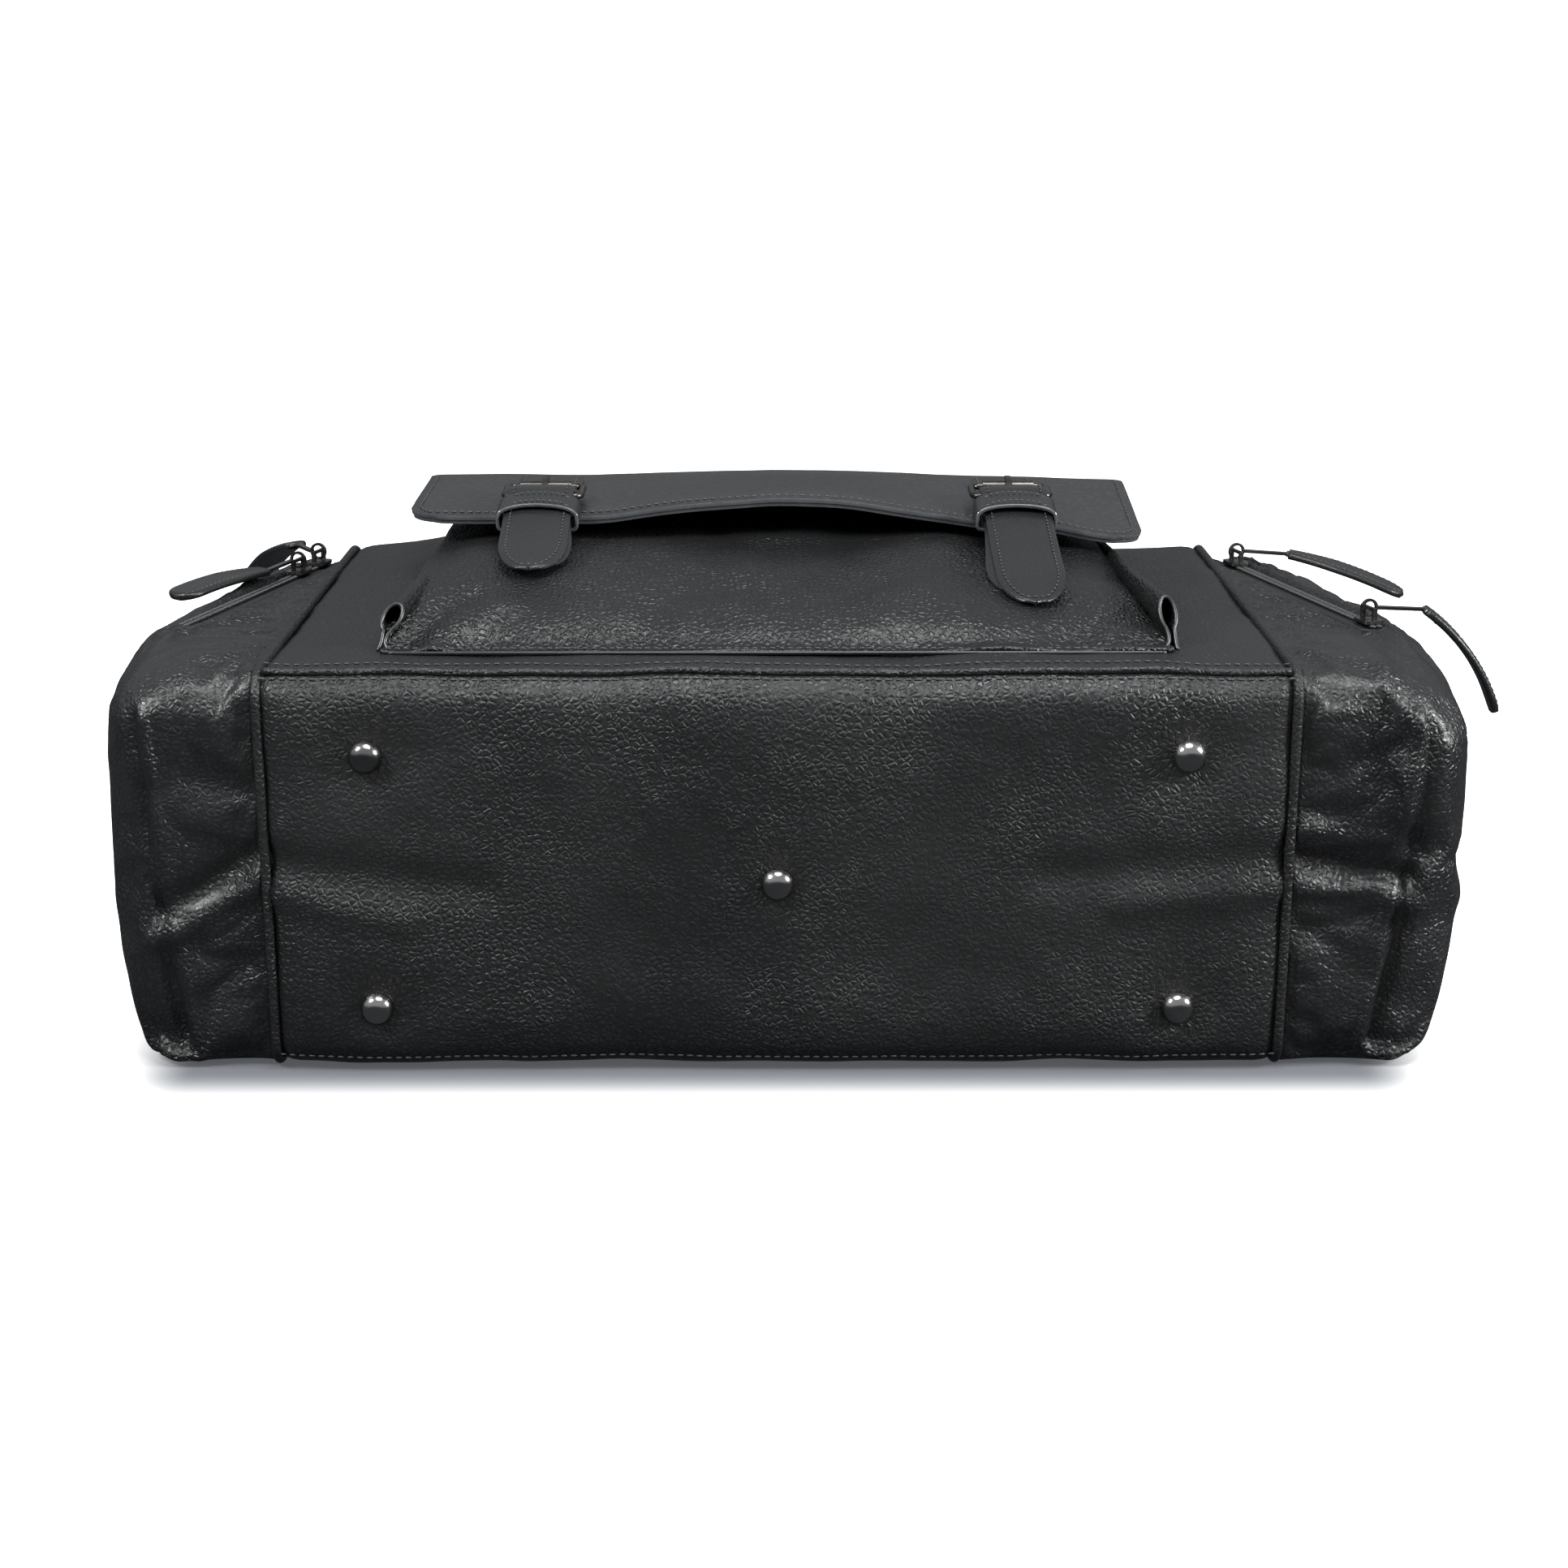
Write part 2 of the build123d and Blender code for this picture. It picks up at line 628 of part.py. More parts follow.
def prong(x_centre):
    """The pin that goes through the billet's hole and rests on the roller."""
    rest = buckle_z + roller_r + 0.25 + 0.8
    with BuildPart() as pin:
        with BuildSketch(Plane.YZ.offset(x_centre - 1.5)):
            with Locations((hinge_y, buckle_z)):
                Circle(3.2)
        extrude(amount=3)
        with BuildSketch(Plane.YZ.offset(x_centre - 1.25)):
            with BuildLine():
                FilletPolyline(
                    (hinge_y + 0.5, buckle_z + 2.2),
                    (roller_y - 8, buckle_z + 2.4),
                    (roller_y - 2, rest),
                    (roller_y + 4.5, rest - 0.3),
                    radius=5,
                )
            trace(line_width=1.6)
        extrude(amount=2.5)
        with BuildSketch(Plane.YZ.offset(x_centre - 3)):
            with Locations((hinge_y, buckle_z)):
                Circle(bar_r + 0.08)
        extrude(amount=6, mode=Mode.SUBTRACT)
    return pin


strap_places = (("left", -strap_half_x), ("right", strap_half_x))
with BuildPart() as strap_keepers:
    for _, x_centre in strap_places:
        add(keeper(x_centre).part)
pieces["strap_keepers"] = strap_keepers

with BuildPart() as strap_billets:
    for _, x_centre in strap_places:
        add(billet(x_centre).part)
pieces["strap_billets"] = strap_billets

with BuildPart() as strap_chapes:
    for _, x_centre in strap_places:
        add(chape(x_centre).part)
pieces["strap_chapes"] = strap_chapes

with BuildPart() as snap_studs:
    for _, x_centre in strap_places:
        add(stud(x_centre).part)
pieces["snap_studs"] = snap_studs

for side_name, x_centre in strap_places:
    pieces[side_name + "_buckle_frame"] = buckle_frame(x_centre)
    pieces[side_name + "_roller"] = roller(x_centre)
    pieces[side_name + "_prong"] = prong(x_centre)

socket_y = base_y + stud_run
with BuildPart() as snap_sockets:
    with BuildSketch(Plane.XY.offset(187.0)):
        with Locations((-strap_half_x, socket_y), (strap_half_x, socket_y)):
            Circle(6.5)
    extrude(amount=3.0)
    with BuildSketch(Plane.YZ.offset(-pocket_half)):
        add(pocket_profile(0, 0))
    extrude(amount=2 * pocket_half, mode=Mode.SUBTRACT)
pieces["snap_sockets"] = snap_sockets

# ---------------------------------------------------------------- handles
handle_half = 85.0
ring_width, ring_drop, ring_r = 36.0, 20.0, 1.9
pivot_out = 4.0
tab_x = 26.0
front_pivot_z = top_depth - 12
back_pivot_z = 12.0
front_lean, back_lean = 14.0, 2.5


def handle_tabs(z_low, z_high, y_low, pivot_z):
    """Two leather strips that follow the body's corner, each with a sleeve for its ring."""
    with BuildPart() as strips:
        for x_centre in (-handle_half, handle_half):
            with BuildSketch(Plane.YZ.offset(x_centre - tab_x / 2)):
                add(body_section(3.2))
                add(body_section(0.1), mode=Mode.SUBTRACT)
                with Locations(((y_low + top_y + 5) / 2, (z_low + z_high) / 2)):
                    Rectangle(top_y + 5 - y_low, z_high - z_low, mode=Mode.INTERSECT)
                with Locations((top_y + pivot_out, pivot_z)):
                    Circle(4.0)
                    Circle(ring_r + 0.1, mode=Mode.SUBTRACT)
            extrude(amount=tab_x)
    return strips


tab_tail = 6.0  # how far a tab's end runs past its sleeve's middle
front_tab_z = (front_pivot_z - tab_tail, base_depth)
back_tab_z = (0.3, back_pivot_z + tab_tail)
pieces["front_handle_tabs"] = handle_tabs(*front_tab_z, base_y + 252, front_pivot_z)
pieces["back_handle_tabs"] = handle_tabs(*back_tab_z, top_y - 18, back_pivot_z)


def loop_wire(plane, x_centre, width, drop, wire_r):
    """A rounded rectangular ring hanging from the plane's x axis."""
    with BuildPart() as ring:
        with BuildLine(plane) as path:
            FilletPolyline(
                (x_centre + width / 2, 0),
                (x_centre + width / 2, drop),
                (x_centre - width / 2, drop),
                (x_centre - width / 2, 0),
                radius=4,
                close=True,
            )
        with BuildSketch(Plane(origin=path.line @ 0, z_dir=path.line % 0)):
            Circle(wire_r)
        sweep(path=path.line)
    return ring


grip_drop, grip_half = 132.0, 55.0  # the grip's distance from the rings' axis, and half its run
leg_drop = 50.0  # where a leg starts to lean towards the grip
grip_width, grip_thick = 15.0, 8.0


def handle(plane):
    """Rolled leather grip whose ends loop round the rings' lower bars."""
    with BuildPart() as bar:
        with BuildLine(plane) as path:
            FilletPolyline(
                (-handle_half, ring_drop + 3),
                (-handle_half, leg_drop),
                (-grip_half, grip_drop),
                (grip_half, grip_drop),
                (handle_half, leg_drop),
                (handle_half, ring_drop + 3),
                radius=22,
            )
        with BuildSketch(Plane(origin=path.line @ 0, x_dir=plane.x_dir, z_dir=path.line % 0)):
            RectangleRounded(grip_width, grip_thick, 3)
        sweep(path=path.line)
        eye = plane.from_local_coords((0, ring_drop, 0))
        for x_centre in (-handle_half, handle_half):
            with BuildSketch(Plane.YZ.offset(x_centre - grip_width / 2)):
                with Locations((eye.Y, eye.Z)):
                    Circle(4.2)
            extrude(amount=grip_width)
            with BuildSketch(Plane.YZ.offset(x_centre - 10)):
                with Locations((eye.Y, eye.Z)):
                    Circle(ring_r + 0.1)
            extrude(amount=20, mode=Mode.SUBTRACT)
    return bar


# The front handle hangs down past the top, leaning out; the back handle lies along the floor.
# In each plane x runs along the bag and y from the rings' axis to the grip.
lean_y, lean_z = sin(radians(front_lean)), cos(radians(front_lean))
sink_y, sink_z = cos(radians(back_lean)), sin(radians(back_lean))
handle_planes = {
    "front": Plane((0, top_y + pivot_out, front_pivot_z), x_dir=(1, 0, 0), z_dir=(0, lean_z, lean_y)),
    "back": Plane((0, top_y + pivot_out, back_pivot_z), x_dir=(1, 0, 0), z_dir=(0, sink_z, sink_y)),
}
for name, plane in handle_planes.items():
    with BuildPart() as rings:
        for x_centre in (-handle_half, handle_half):
            add(loop_wire(plane, x_centre, ring_width, ring_drop, ring_r).part)
    pieces[name + "_handle_rings"] = rings
    pieces[name + "_handle"] = handle(plane)

# ---------------------------------------------------------------- shoulder-strap rings
strap_ring_y = top_y - 4
strap_ring_x = end_panel_x + 4.4
ring_z = mouth_z
with BuildPart() as right_ring_tab:
    tab_z = (ring_z - 12, ring_z + 12)
    span((end_panel_x + 0.1, end_panel_x + 2.6), (top_y - 24, strap_ring_y), tab_z, Mode.ADD)
    with BuildSketch(Plane.XY.offset(ring_z - 12)):
        with Locations((strap_ring_x, strap_ring_y)):
            Circle(3.8)
    extrude(amount=24)
    with BuildSketch(Plane.XY.offset(ring_z - 13)):
        with Locations((strap_ring_x, strap_ring_y)):
            Circle(1.7)
    extrude(amount=26, mode=Mode.SUBTRACT)
with BuildPart() as strap_ring_tabs:
    add(right_ring_tab.part)
    add(mirrored(right_ring_tab).part)
pieces["strap_ring_tabs"] = strap_ring_tabs
ring_plane = Plane(origin=(strap_ring_x, strap_ring_y, ring_z), x_dir=(0, 0, -1), z_dir=(1, 0, 0))
right_strap_ring = loop_wire(ring_plane, 0, 31, 18, 1.6)
pieces["right_strap_ring"] = right_strap_ring
pieces["left_strap_ring"] = mirrored(right_strap_ring)

# ---------------------------------------------------------------- export
if __name__ == "__main__":
    os.makedirs("parts", exist_ok=True)
    for name, piece in pieces.items():
        piece.part.label = name
        export_step(piece.part, f"parts/{name}.step")
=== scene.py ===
# %% [markdown]
# # A leather diaper bag, lying on its back
#
# The bag is a duffel of pebbled black leather. It lies on its back panel with its base and five
# dome feet towards the viewer. The hard parts are already exact, so they keep their shapes and
# only get a finish here. The soft parts are made again as skins that bulge, crease and sag,
# because leather over foam is never flat. Lengths in the script are millimetres until a mesh is
# made, where one factor turns them into metres.

# %% The fixed frame
import math

import bmesh
import bpy
import numpy as np
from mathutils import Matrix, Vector, noise


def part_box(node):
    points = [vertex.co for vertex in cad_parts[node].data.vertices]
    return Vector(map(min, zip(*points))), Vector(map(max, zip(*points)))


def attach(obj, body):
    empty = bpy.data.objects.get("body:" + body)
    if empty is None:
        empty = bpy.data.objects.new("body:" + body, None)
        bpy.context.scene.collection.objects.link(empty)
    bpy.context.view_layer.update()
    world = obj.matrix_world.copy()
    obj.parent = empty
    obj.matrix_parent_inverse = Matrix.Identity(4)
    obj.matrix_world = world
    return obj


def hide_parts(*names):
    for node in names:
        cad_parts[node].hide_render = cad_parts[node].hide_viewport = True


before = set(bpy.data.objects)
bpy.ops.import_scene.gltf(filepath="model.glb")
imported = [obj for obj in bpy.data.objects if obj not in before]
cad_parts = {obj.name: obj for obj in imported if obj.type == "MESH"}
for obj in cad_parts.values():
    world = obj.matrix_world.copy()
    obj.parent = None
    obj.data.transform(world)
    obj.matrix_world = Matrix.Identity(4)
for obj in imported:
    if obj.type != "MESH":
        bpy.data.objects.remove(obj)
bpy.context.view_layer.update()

mm = 0.001
scene = bpy.context.scene


# %% Places read from the frame
def lowest(node):
    """Lowest corner of a node, in millimetres."""
    return np.array(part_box(node)[0]) / mm


def highest(node):
    """Highest corner of a node, in millimetres."""
    return np.array(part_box(node)[1]) / mm


half_length = highest("base_panel")[0]
base_y = lowest("base_panel")[1]
top_y = highest("back_panel")[1]
base_seam_y = highest("base_panel")[1]
top_seam_front = lowest("front_panel")[2]
top_seam_back = highest("back_panel")[2]
hinged_half = highest("top_front_panel")[0]
end_x = highest("right_end_panel")[0]
mouth_low, mouth_high = highest("top_back_panel")[2], lowest("top_front_panel")[2]
base_depth, top_depth = 170.0, 158.0
base_corner_r, top_corner_r = 12.0, 25.0
front_slope = (base_depth - top_depth) / (top_y - base_y)
print("half length", half_length, "base", base_y, "top", top_y, "mouth", mouth_low, mouth_high)


def front_z(y):
    """Height of the front panel's face at y."""
    return base_depth - front_slope * (y - base_y)


# %% [markdown]
# ## Light, floor and viewpoint
#
# Black leather shows its form by what it mirrors, so the room matters more than the lamps. A
# bright upper room gives the soft grey sheen on every face that is seen at a low angle, and a
# dark lower room keeps the base black. A large lamp above, one at the right-hand end and one at
# the upper left add the bright grain on the rounded edges. The floor glows, so that it stays
# white, and a contact shadow is painted on it: both its glow and its colour fade to dark grey
# close to the bag. A white shell closes the room behind the bag.

# %% Camera
scene.view_settings.view_transform = "Standard"
camera_data = bpy.data.cameras.new("camera")
camera_data.lens, camera_data.sensor_width = 62.51, 36.0
camera = bpy.data.objects.new("camera", camera_data)
camera.location = (0.0, -1.17866, 0.46122)
camera.rotation_euler = (math.radians(90 - 18.054), 0.0, math.radians(-0.15))
scene.collection.objects.link(camera)
scene.camera = camera
print("camera at", tuple(camera.location))


# %% [markdown]
# ## A short way to write shader maths
#
# A material is a graph of nodes. Written link by link it is hard to read, so a small class wraps
# one output and lets Python's own signs add the Math nodes.

# %% Sockets that take Python's operators
class Signal:
    """One output of a material's node graph."""

    def __init__(self, recipe, socket):
        self.recipe, self.socket = recipe, socket

    def maths(self, operation, *others):
        values = dict(enumerate(others))
        return self.recipe.node("ShaderNodeMath", {"operation": operation}, values)

    def __add__(self, other):
        return self.maths("ADD", self, other)

    def __sub__(self, other):
        return self.maths("SUBTRACT", self, other)

    def __rsub__(self, other):
        return self.maths("SUBTRACT", other, self)

    def __mul__(self, other):
        return self.maths("MULTIPLY", self, other)

    def maths_of(self, operation):
        return self.maths(operation, self)

    def maths_with(self, operation, other):
        return self.maths(operation, self, other)

    def step(self, low, high):
        """0 below low, 1 above high, and smooth between them."""
        settings = {"interpolation_type": "SMOOTHSTEP"}
        return self.recipe.node("ShaderNodeMapRange", settings, {"Value": self, 1: low, 2: high})

    __radd__, __rmul__ = __add__, __mul__


class Recipe:
    """A material that is put together node by node."""

    def __init__(self, name):
        self.material = bpy.data.materials.new(name)
        self.material.use_nodes = True
        self.tree = self.material.node_tree
        self.tree.nodes.clear()

    def node(self, kind, settings=None, values=None, out=0):
        """Adds a node: its settings first, then the values or links of its sockets."""
        made = self.tree.nodes.new(kind)
        for name, value in (settings or {}).items():
            setattr(made, name, value)
        for name, value in (values or {}).items():
            if isinstance(value, Signal):
                self.tree.links.new(value.socket, made.inputs[name])
            else:
                made.inputs[name].default_value = value
        return Signal(self, made.outputs[out]) if len(made.outputs) else None

    def mix(self, share, first, second):
        """A colour between two, by share."""
        values = {0: share, 6: first, 7: second}
        return self.node("ShaderNodeMix", {"data_type": "RGBA"}, values, out=2)

    def place(self):
        """The point on the piece, in metres."""
        return self.node("ShaderNodeTexCoord", out="Object")

    def cloud(self, where, scale, detail=2.0):
        """Soft noise from 0 to 1."""
        return self.node("ShaderNodeTexNoise", None, {"Vector": where, "Scale": scale, "Detail": detail})

    def bump(self, height, depth_mm, under=None):
        """A surface normal from a height of 0 to 1, depth_mm deep."""
        values = {"Height": height, "Distance": depth_mm * mm, "Strength": 1.0}
        if under is not None:
            values["Normal"] = under
        return self.node("ShaderNodeBump", None, values)

    def finish(self, **values):
        """Ends in the Principled shader, whose sockets are named with underscores for spaces."""
        named = {name.replace("_", " "): value for name, value in values.items()}
        shader = self.node("ShaderNodeBsdfPrincipled", None, named)
        self.node("ShaderNodeOutputMaterial", None, {"Surface": shader})
        return self.material


def grey(level, cool=1.0):
    """A near-black or grey with a slight cool cast, as a colour."""
    return (level * (2 - cool) * 0.94, level * 0.99, level * cool * 1.08, 1.0)


print("shader helpers ready")


# %% Floor and lamps
# The bag's footprint on the floor, round which the contact shadow is painted.
painted_shadow_footprint = (0.240, 0.146)


def room():
    """White floor with a painted contact shadow near the bag, white surroundings and three soft lamps."""
    recipe = Recipe("white_table_painted_shadow")
    where = recipe.place()
    beyond = []
    for axis, half_side in enumerate(painted_shadow_footprint):
        side = recipe.node("ShaderNodeSeparateXYZ", None, {"Vector": where}, out=axis).maths_of("ABSOLUTE")
        beyond.append((side - half_side).maths_with("MAXIMUM", 0.0))
    away = (beyond[0] * beyond[0] + beyond[1] * beyond[1]).maths_of("SQRT")
    # Painted contact shadow: near the bag, the floor's colour and glow fade to dark grey.
    painted_shadow_tint = recipe.mix(away.step(0.0, 0.058), grey(0.10), (0.95, 0.95, 0.95, 1))
    diffuse = recipe.node("ShaderNodeBsdfDiffuse", None, {"Color": painted_shadow_tint})
    glow = recipe.node("ShaderNodeEmission", None, {"Color": painted_shadow_tint, "Strength": 0.9})
    both = recipe.node("ShaderNodeAddShader", None, {0: diffuse, 1: glow})
    recipe.node("ShaderNodeOutputMaterial", None, {"Surface": both})
    bpy.ops.mesh.primitive_plane_add(size=60.0, location=(0, 0, -0.0004))
    floor = bpy.context.object
    floor.name = "floor"
    floor.data.materials.append(recipe.material)
    # The table is left out of mirror reflections, where the room's darker lower half stands for it.
    floor.visible_glossy = False
    backdrop_recipe = Recipe("white_backdrop")
    plain_light = backdrop_recipe.node("ShaderNodeEmission", None, {"Color": (1, 1, 1, 1), "Strength": 1.0})
    backdrop_recipe.node("ShaderNodeOutputMaterial", None, {"Surface": plain_light})
    bpy.ops.mesh.primitive_uv_sphere_add(segments=32, ring_count=16, radius=25.0)
    backdrop = bpy.context.object
    backdrop.name = "backdrop"
    backdrop.data.materials.append(backdrop_recipe.material)
    backdrop.visible_glossy = backdrop.visible_diffuse = backdrop.visible_shadow = False
    world = bpy.data.worlds.new("studio_room")
    world.use_nodes = True
    nodes, links = world.node_tree.nodes, world.node_tree.links
    direction = nodes.new("ShaderNodeTexCoord")
    split = nodes.new("ShaderNodeSeparateXYZ")
    ramp = nodes.new("ShaderNodeValToRGB")
    low, high = ramp.color_ramp.elements
    low.position, low.color = 0.53, (0.12, 0.13, 0.14, 1)
    high.position, high.color = 0.65, (0.93, 0.97, 1.0, 1)
    shift = nodes.new("ShaderNodeMath")
    shift.operation = "MULTIPLY_ADD"
    shift.inputs[1].default_value, shift.inputs[2].default_value = 0.5, 0.5
    links.new(direction.outputs["Generated"], split.inputs[0])
    links.new(split.outputs["Z"], shift.inputs[0])
    links.new(shift.outputs[0], ramp.inputs[0])
    links.new(ramp.outputs[0], nodes["Background"].inputs["Color"])
    nodes["Background"].inputs["Strength"].default_value = 0.42
    scene.world = world
    lamps = {
        "overhead": ((0.1, -0.35, 1.25), (0, 0, 0.1), 0.7, 13.0),
        "right_end": ((1.35, -0.45, 0.75), (0.2, 0, 0.1), 0.5, 26.0),
        "left_high": ((-0.9, -0.6, 1.05), (-0.1, 0, 0.1), 0.4, 15.0),
    }
    for name, (where, target, size, power) in lamps.items():
        lamp = bpy.data.lights.new(name, "AREA")
        lamp.shape, lamp.size, lamp.energy = "DISK", size, power
        holder = bpy.data.objects.new(name, lamp)
        holder.location = where
        holder.rotation_euler = (Vector(target) - Vector(where)).to_track_quat("-Z", "Y").to_euler()
        scene.collection.objects.link(holder)
    print("lamps", list(lamps))


room()


# %% [markdown]
# ## Leathers
#
# Pebbled leather is a field of small rounded cells with fine lines between them. Voronoi cells
# measured by their distance to the edge give exactly that: high in a cell, low along its rim.
# The cells are pushed about by noise so that no two are alike, and a broader noise makes some
# areas glossier than others, as hands and folds do. Each part of the bag has its own strength
# of grain: strong on the front pocket, finer on the flap, almost none on the straps.

# %% Leather recipe
def leather(name, tone, rough, cell_mm, grain_mm, crease_mm, coat=0.0, stretch=(1, 1, 1)):
    """Black leather with pebbles cell_mm across and grain_mm deep, and soft creases over them."""
    recipe = Recipe(name)
    where = recipe.place()
    if stretch != (1, 1, 1):
        where = recipe.node("ShaderNodeMapping", None, {"Vector": where, "Scale": stretch})
    sway = recipe.node("ShaderNodeTexNoise", None, {"Vector": where, "Scale": 210.0, "Detail": 2.0}, out=1)
    sway = recipe.node("ShaderNodeVectorMath", {"operation": "SCALE"}, {0: sway, "Scale": 0.9 * cell_mm * mm})
    moved = recipe.node("ShaderNodeVectorMath", {"operation": "ADD"}, {0: where, 1: sway})
    cells = recipe.node(
        "ShaderNodeTexVoronoi",
        {"feature": "DISTANCE_TO_EDGE"},
        {"Vector": moved, "Scale": 1.0 / (cell_mm * mm)},
    )
    pebble = cells.step(0.0, 0.34)
    fine = recipe.cloud(where, 1500.0, 3.0)
    soft = recipe.cloud(where, 34.0, 4.0)
    patch = recipe.cloud(where, 9.0, 3.0).step(0.3, 0.72)
    strength = 0.55 + 0.45 * recipe.cloud(where, 22.0, 2.0).step(0.35, 0.65)
    first = recipe.bump(soft, crease_mm)
    second = recipe.bump(pebble * strength + 0.12 * fine, grain_mm, first)
    roughness = rough + 0.16 * (patch - 0.5) + 0.12 * (1 - pebble) + 0.05 * (fine - 0.5)
    colour = recipe.mix(pebble * 0.75 + patch * 0.25, grey(tone * 0.6), grey(tone * 1.25))
    return recipe.finish(
        Base_Color=colour,
        Roughness=roughness,
        Normal=second,
        Coat_Weight=coat,
        Coat_Roughness=0.22,
        Specular_IOR_Level=0.5,
    )


body_leather = leather("body_pebble_leather", 0.0075, 0.40, 2.5, 0.40, 1.6)
pocket_leather = leather("pocket_glossy_leather", 0.0065, 0.36, 2.4, 0.50, 1.4, 0.0, (1.0, 0.8, 1.0))
lobe_leather = leather("end_pocket_leather", 0.0075, 0.34, 2.5, 0.38, 2.2, 0.15)
flap_leather = leather("flap_fine_leather", 0.020, 0.38, 1.8, 0.16, 0.9, 0.1, (0.35, 1.0, 1.0))
strap_leather = leather("strap_smooth_leather", 0.0085, 0.34, 1.5, 0.09, 0.8, 0.2)
grip_leather = leather("rolled_grip_leather", 0.0095, 0.40, 1.9, 0.16, 0.6, 0.1)
print("leathers", 6)


# %% [markdown]
# ## Other finishes
#
# Cut leather edges are painted with a glossy edge paint, which is the thin bright line round
# every strap. The metal is dark plated: nickel on the zips, a browner gunmetal on the feet. Real
# plating is never even, so a little noise moves its roughness and a fine scratch field bends the
# reflections.

# %% Finishes without grain
def plated(name, tone, warmth, rough):
    """Dark plated metal with faint scratches and handling marks."""
    recipe = Recipe(name)
    where = recipe.place()
    marks = recipe.cloud(where, 260.0, 5.0)
    smear = recipe.cloud(where, 45.0, 3.0)
    bright = (tone * warmth, tone, tone * (2 - warmth), 1)
    dull = (tone * 0.55 * warmth, tone * 0.55, tone * 0.55 * (2 - warmth), 1)
    return recipe.finish(
        Base_Color=recipe.mix(smear.step(0.35, 0.7), bright, dull),
        Metallic=1.0,
        Roughness=rough + 0.14 * (marks - 0.5) + 0.1 * (smear - 0.5),
        Normal=recipe.bump(marks, 0.03),
    )


def plain(name, tone, rough, weave_mm, depth_mm, coat=0.0):
    """Woven tape, thread, edge paint or board: an even colour over a small repeating texture."""
    recipe = Recipe(name)
    where = recipe.place()
    weave = recipe.node(
        "ShaderNodeTexWave",
        {"wave_type": "BANDS", "bands_direction": "DIAGONAL"},
        {"Vector": where, "Scale": 0.32 / (weave_mm * mm), "Distortion": 1.2, "Detail": 2.0},
        out=1,
    )
    uneven = recipe.cloud(where, 120.0, 3.0)
    return recipe.finish(
        Base_Color=recipe.mix(uneven, grey(tone * 0.7), grey(tone * 1.3)),
        Roughness=rough + 0.15 * (uneven - 0.5),
        Normal=recipe.bump(weave, depth_mm),
        Coat_Weight=coat,
        Coat_Roughness=0.15,
    )


edge_paint = plain("edge_paint", 0.07, 0.26, 3.0, 0.02, 0.5)
dark_edge = plain("dark_edge_paint", 0.016, 0.34, 3.0, 0.02, 0.2)
thread = plain("waxed_thread", 0.045, 0.40, 0.5, 0.06)
zip_tape = plain("zip_tape", 0.008, 0.8, 0.9, 0.08)
zip_coil = plain("zip_coil", 0.016, 0.38, 1.2, 0.04)
lining = plain("lining", 0.02, 0.85, 0.8, 0.06)
board_finish = plain("stiffener_board", 0.05, 0.8, 2.0, 0.05)
gunmetal = plated("gunmetal_feet", 0.52, 1.02, 0.16)
nickel = plated("dark_nickel", 0.22, 1.02, 0.26)
buckle_metal = plated("buckle_metal", 0.10, 1.08, 0.30)
ring_metal = plated("ring_metal", 0.28, 1.03, 0.22)
steel = plated("inner_steel", 0.42, 1.0, 0.35)
print("other finishes", 11)

# %% Finishes for the hard parts
hard_finishes = {
    "base_feet": gunmetal,
    "foot_washers": steel,
    "snap_studs": buckle_metal,
    "snap_sockets": buckle_metal,
    "base_board": board_finish,
    "main_slider": nickel,
    "main_pull_link": nickel,
    "front_handle_rings": ring_metal,
    "back_handle_rings": ring_metal,
}
for side in ("left", "right"):
    for part in ("near", "far"):
        hard_finishes[f"{side}_{part}_slider"] = nickel
        hard_finishes[f"{side}_{part}_pull_link"] = nickel
    hard_finishes[f"{side}_strap_ring"] = ring_metal
    for part in ("buckle_frame", "roller", "prong"):
        hard_finishes[f"{side}_{part}"] = buckle_metal
for node, finish in hard_finishes.items():
    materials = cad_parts[node].data.materials
    materials.clear()
    materials.append(finish)
print("hard parts finished", len(hard_finishes))


# %% [markdown]
# ## Skins
#
# A soft panel is made as a grid of points: one direction runs along the bag, the other round
# its outline. A grid is easy to bulge, because each point knows which way is out. The same
# field of soft noise and creases moves every skin, so two panels that meet at a seam move
# together and stay joined.

# %% Outline with round corners
def rounded_loop(corners, radii, count):
    """Evenly spaced points round a closed outline whose corners are arcs."""
    corners = [np.array(c, float) for c in corners]
    dense = []
    for i, corner in enumerate(corners):
        back = corners[i - 1] - corner
        ahead = corners[(i + 1) % len(corners)] - corner
        back, ahead = back / np.linalg.norm(back), ahead / np.linalg.norm(ahead)
        half_turn = math.acos(np.clip(back @ ahead, -1, 1)) / 2
        run = radii[i] / math.tan(half_turn)
        middle = corner + (back + ahead) / np.linalg.norm(back + ahead) * radii[i] / math.sin(half_turn)
        start, end = corner + back * run - middle, corner + ahead * run - middle
        for t in np.linspace(0, 1, 24):
            chord = start * (1 - t) + end * t
            dense.append(middle + chord / np.linalg.norm(chord) * radii[i])
    return even(np.array(dense), count, closed=True)


def even(points, count, closed=False):
    """The same line with evenly spaced points."""
    points = np.asarray(points, float)
    if closed:
        points = np.vstack([points, points[:1]])
    run = np.concatenate([[0], np.cumsum(np.linalg.norm(np.diff(points, axis=0), axis=1))])
    at = np.linspace(0, run[-1], count, endpoint=not closed)
    return np.column_stack([np.interp(at, run, points[:, k]) for k in range(points.shape[1])])


def smooth_line(points, count):
    """A smooth line near the given points, which are its control points."""
    line = np.array(points, float)
    for _ in range(4):
        quarter = line[:-1] * 0.75 + line[1:] * 0.25
        three = line[:-1] * 0.25 + line[1:] * 0.75
        line = np.vstack([line[:1], np.stack([quarter, three], 1).reshape(-1, line.shape[1]), line[-1:]])
    return even(line, count)


print("loop points", len(rounded_loop([(0, 0), (0, 10), (10, 10), (10, 0)], [2] * 4, 40)))

# %% [markdown]
# ## Where the leather creases
#
# Each crease is a short line in space with a width and a depth. Skin near the line moves in or
# out. Negative depth is a valley, and a small ridge beside it makes the leather look folded
# rather than dented.

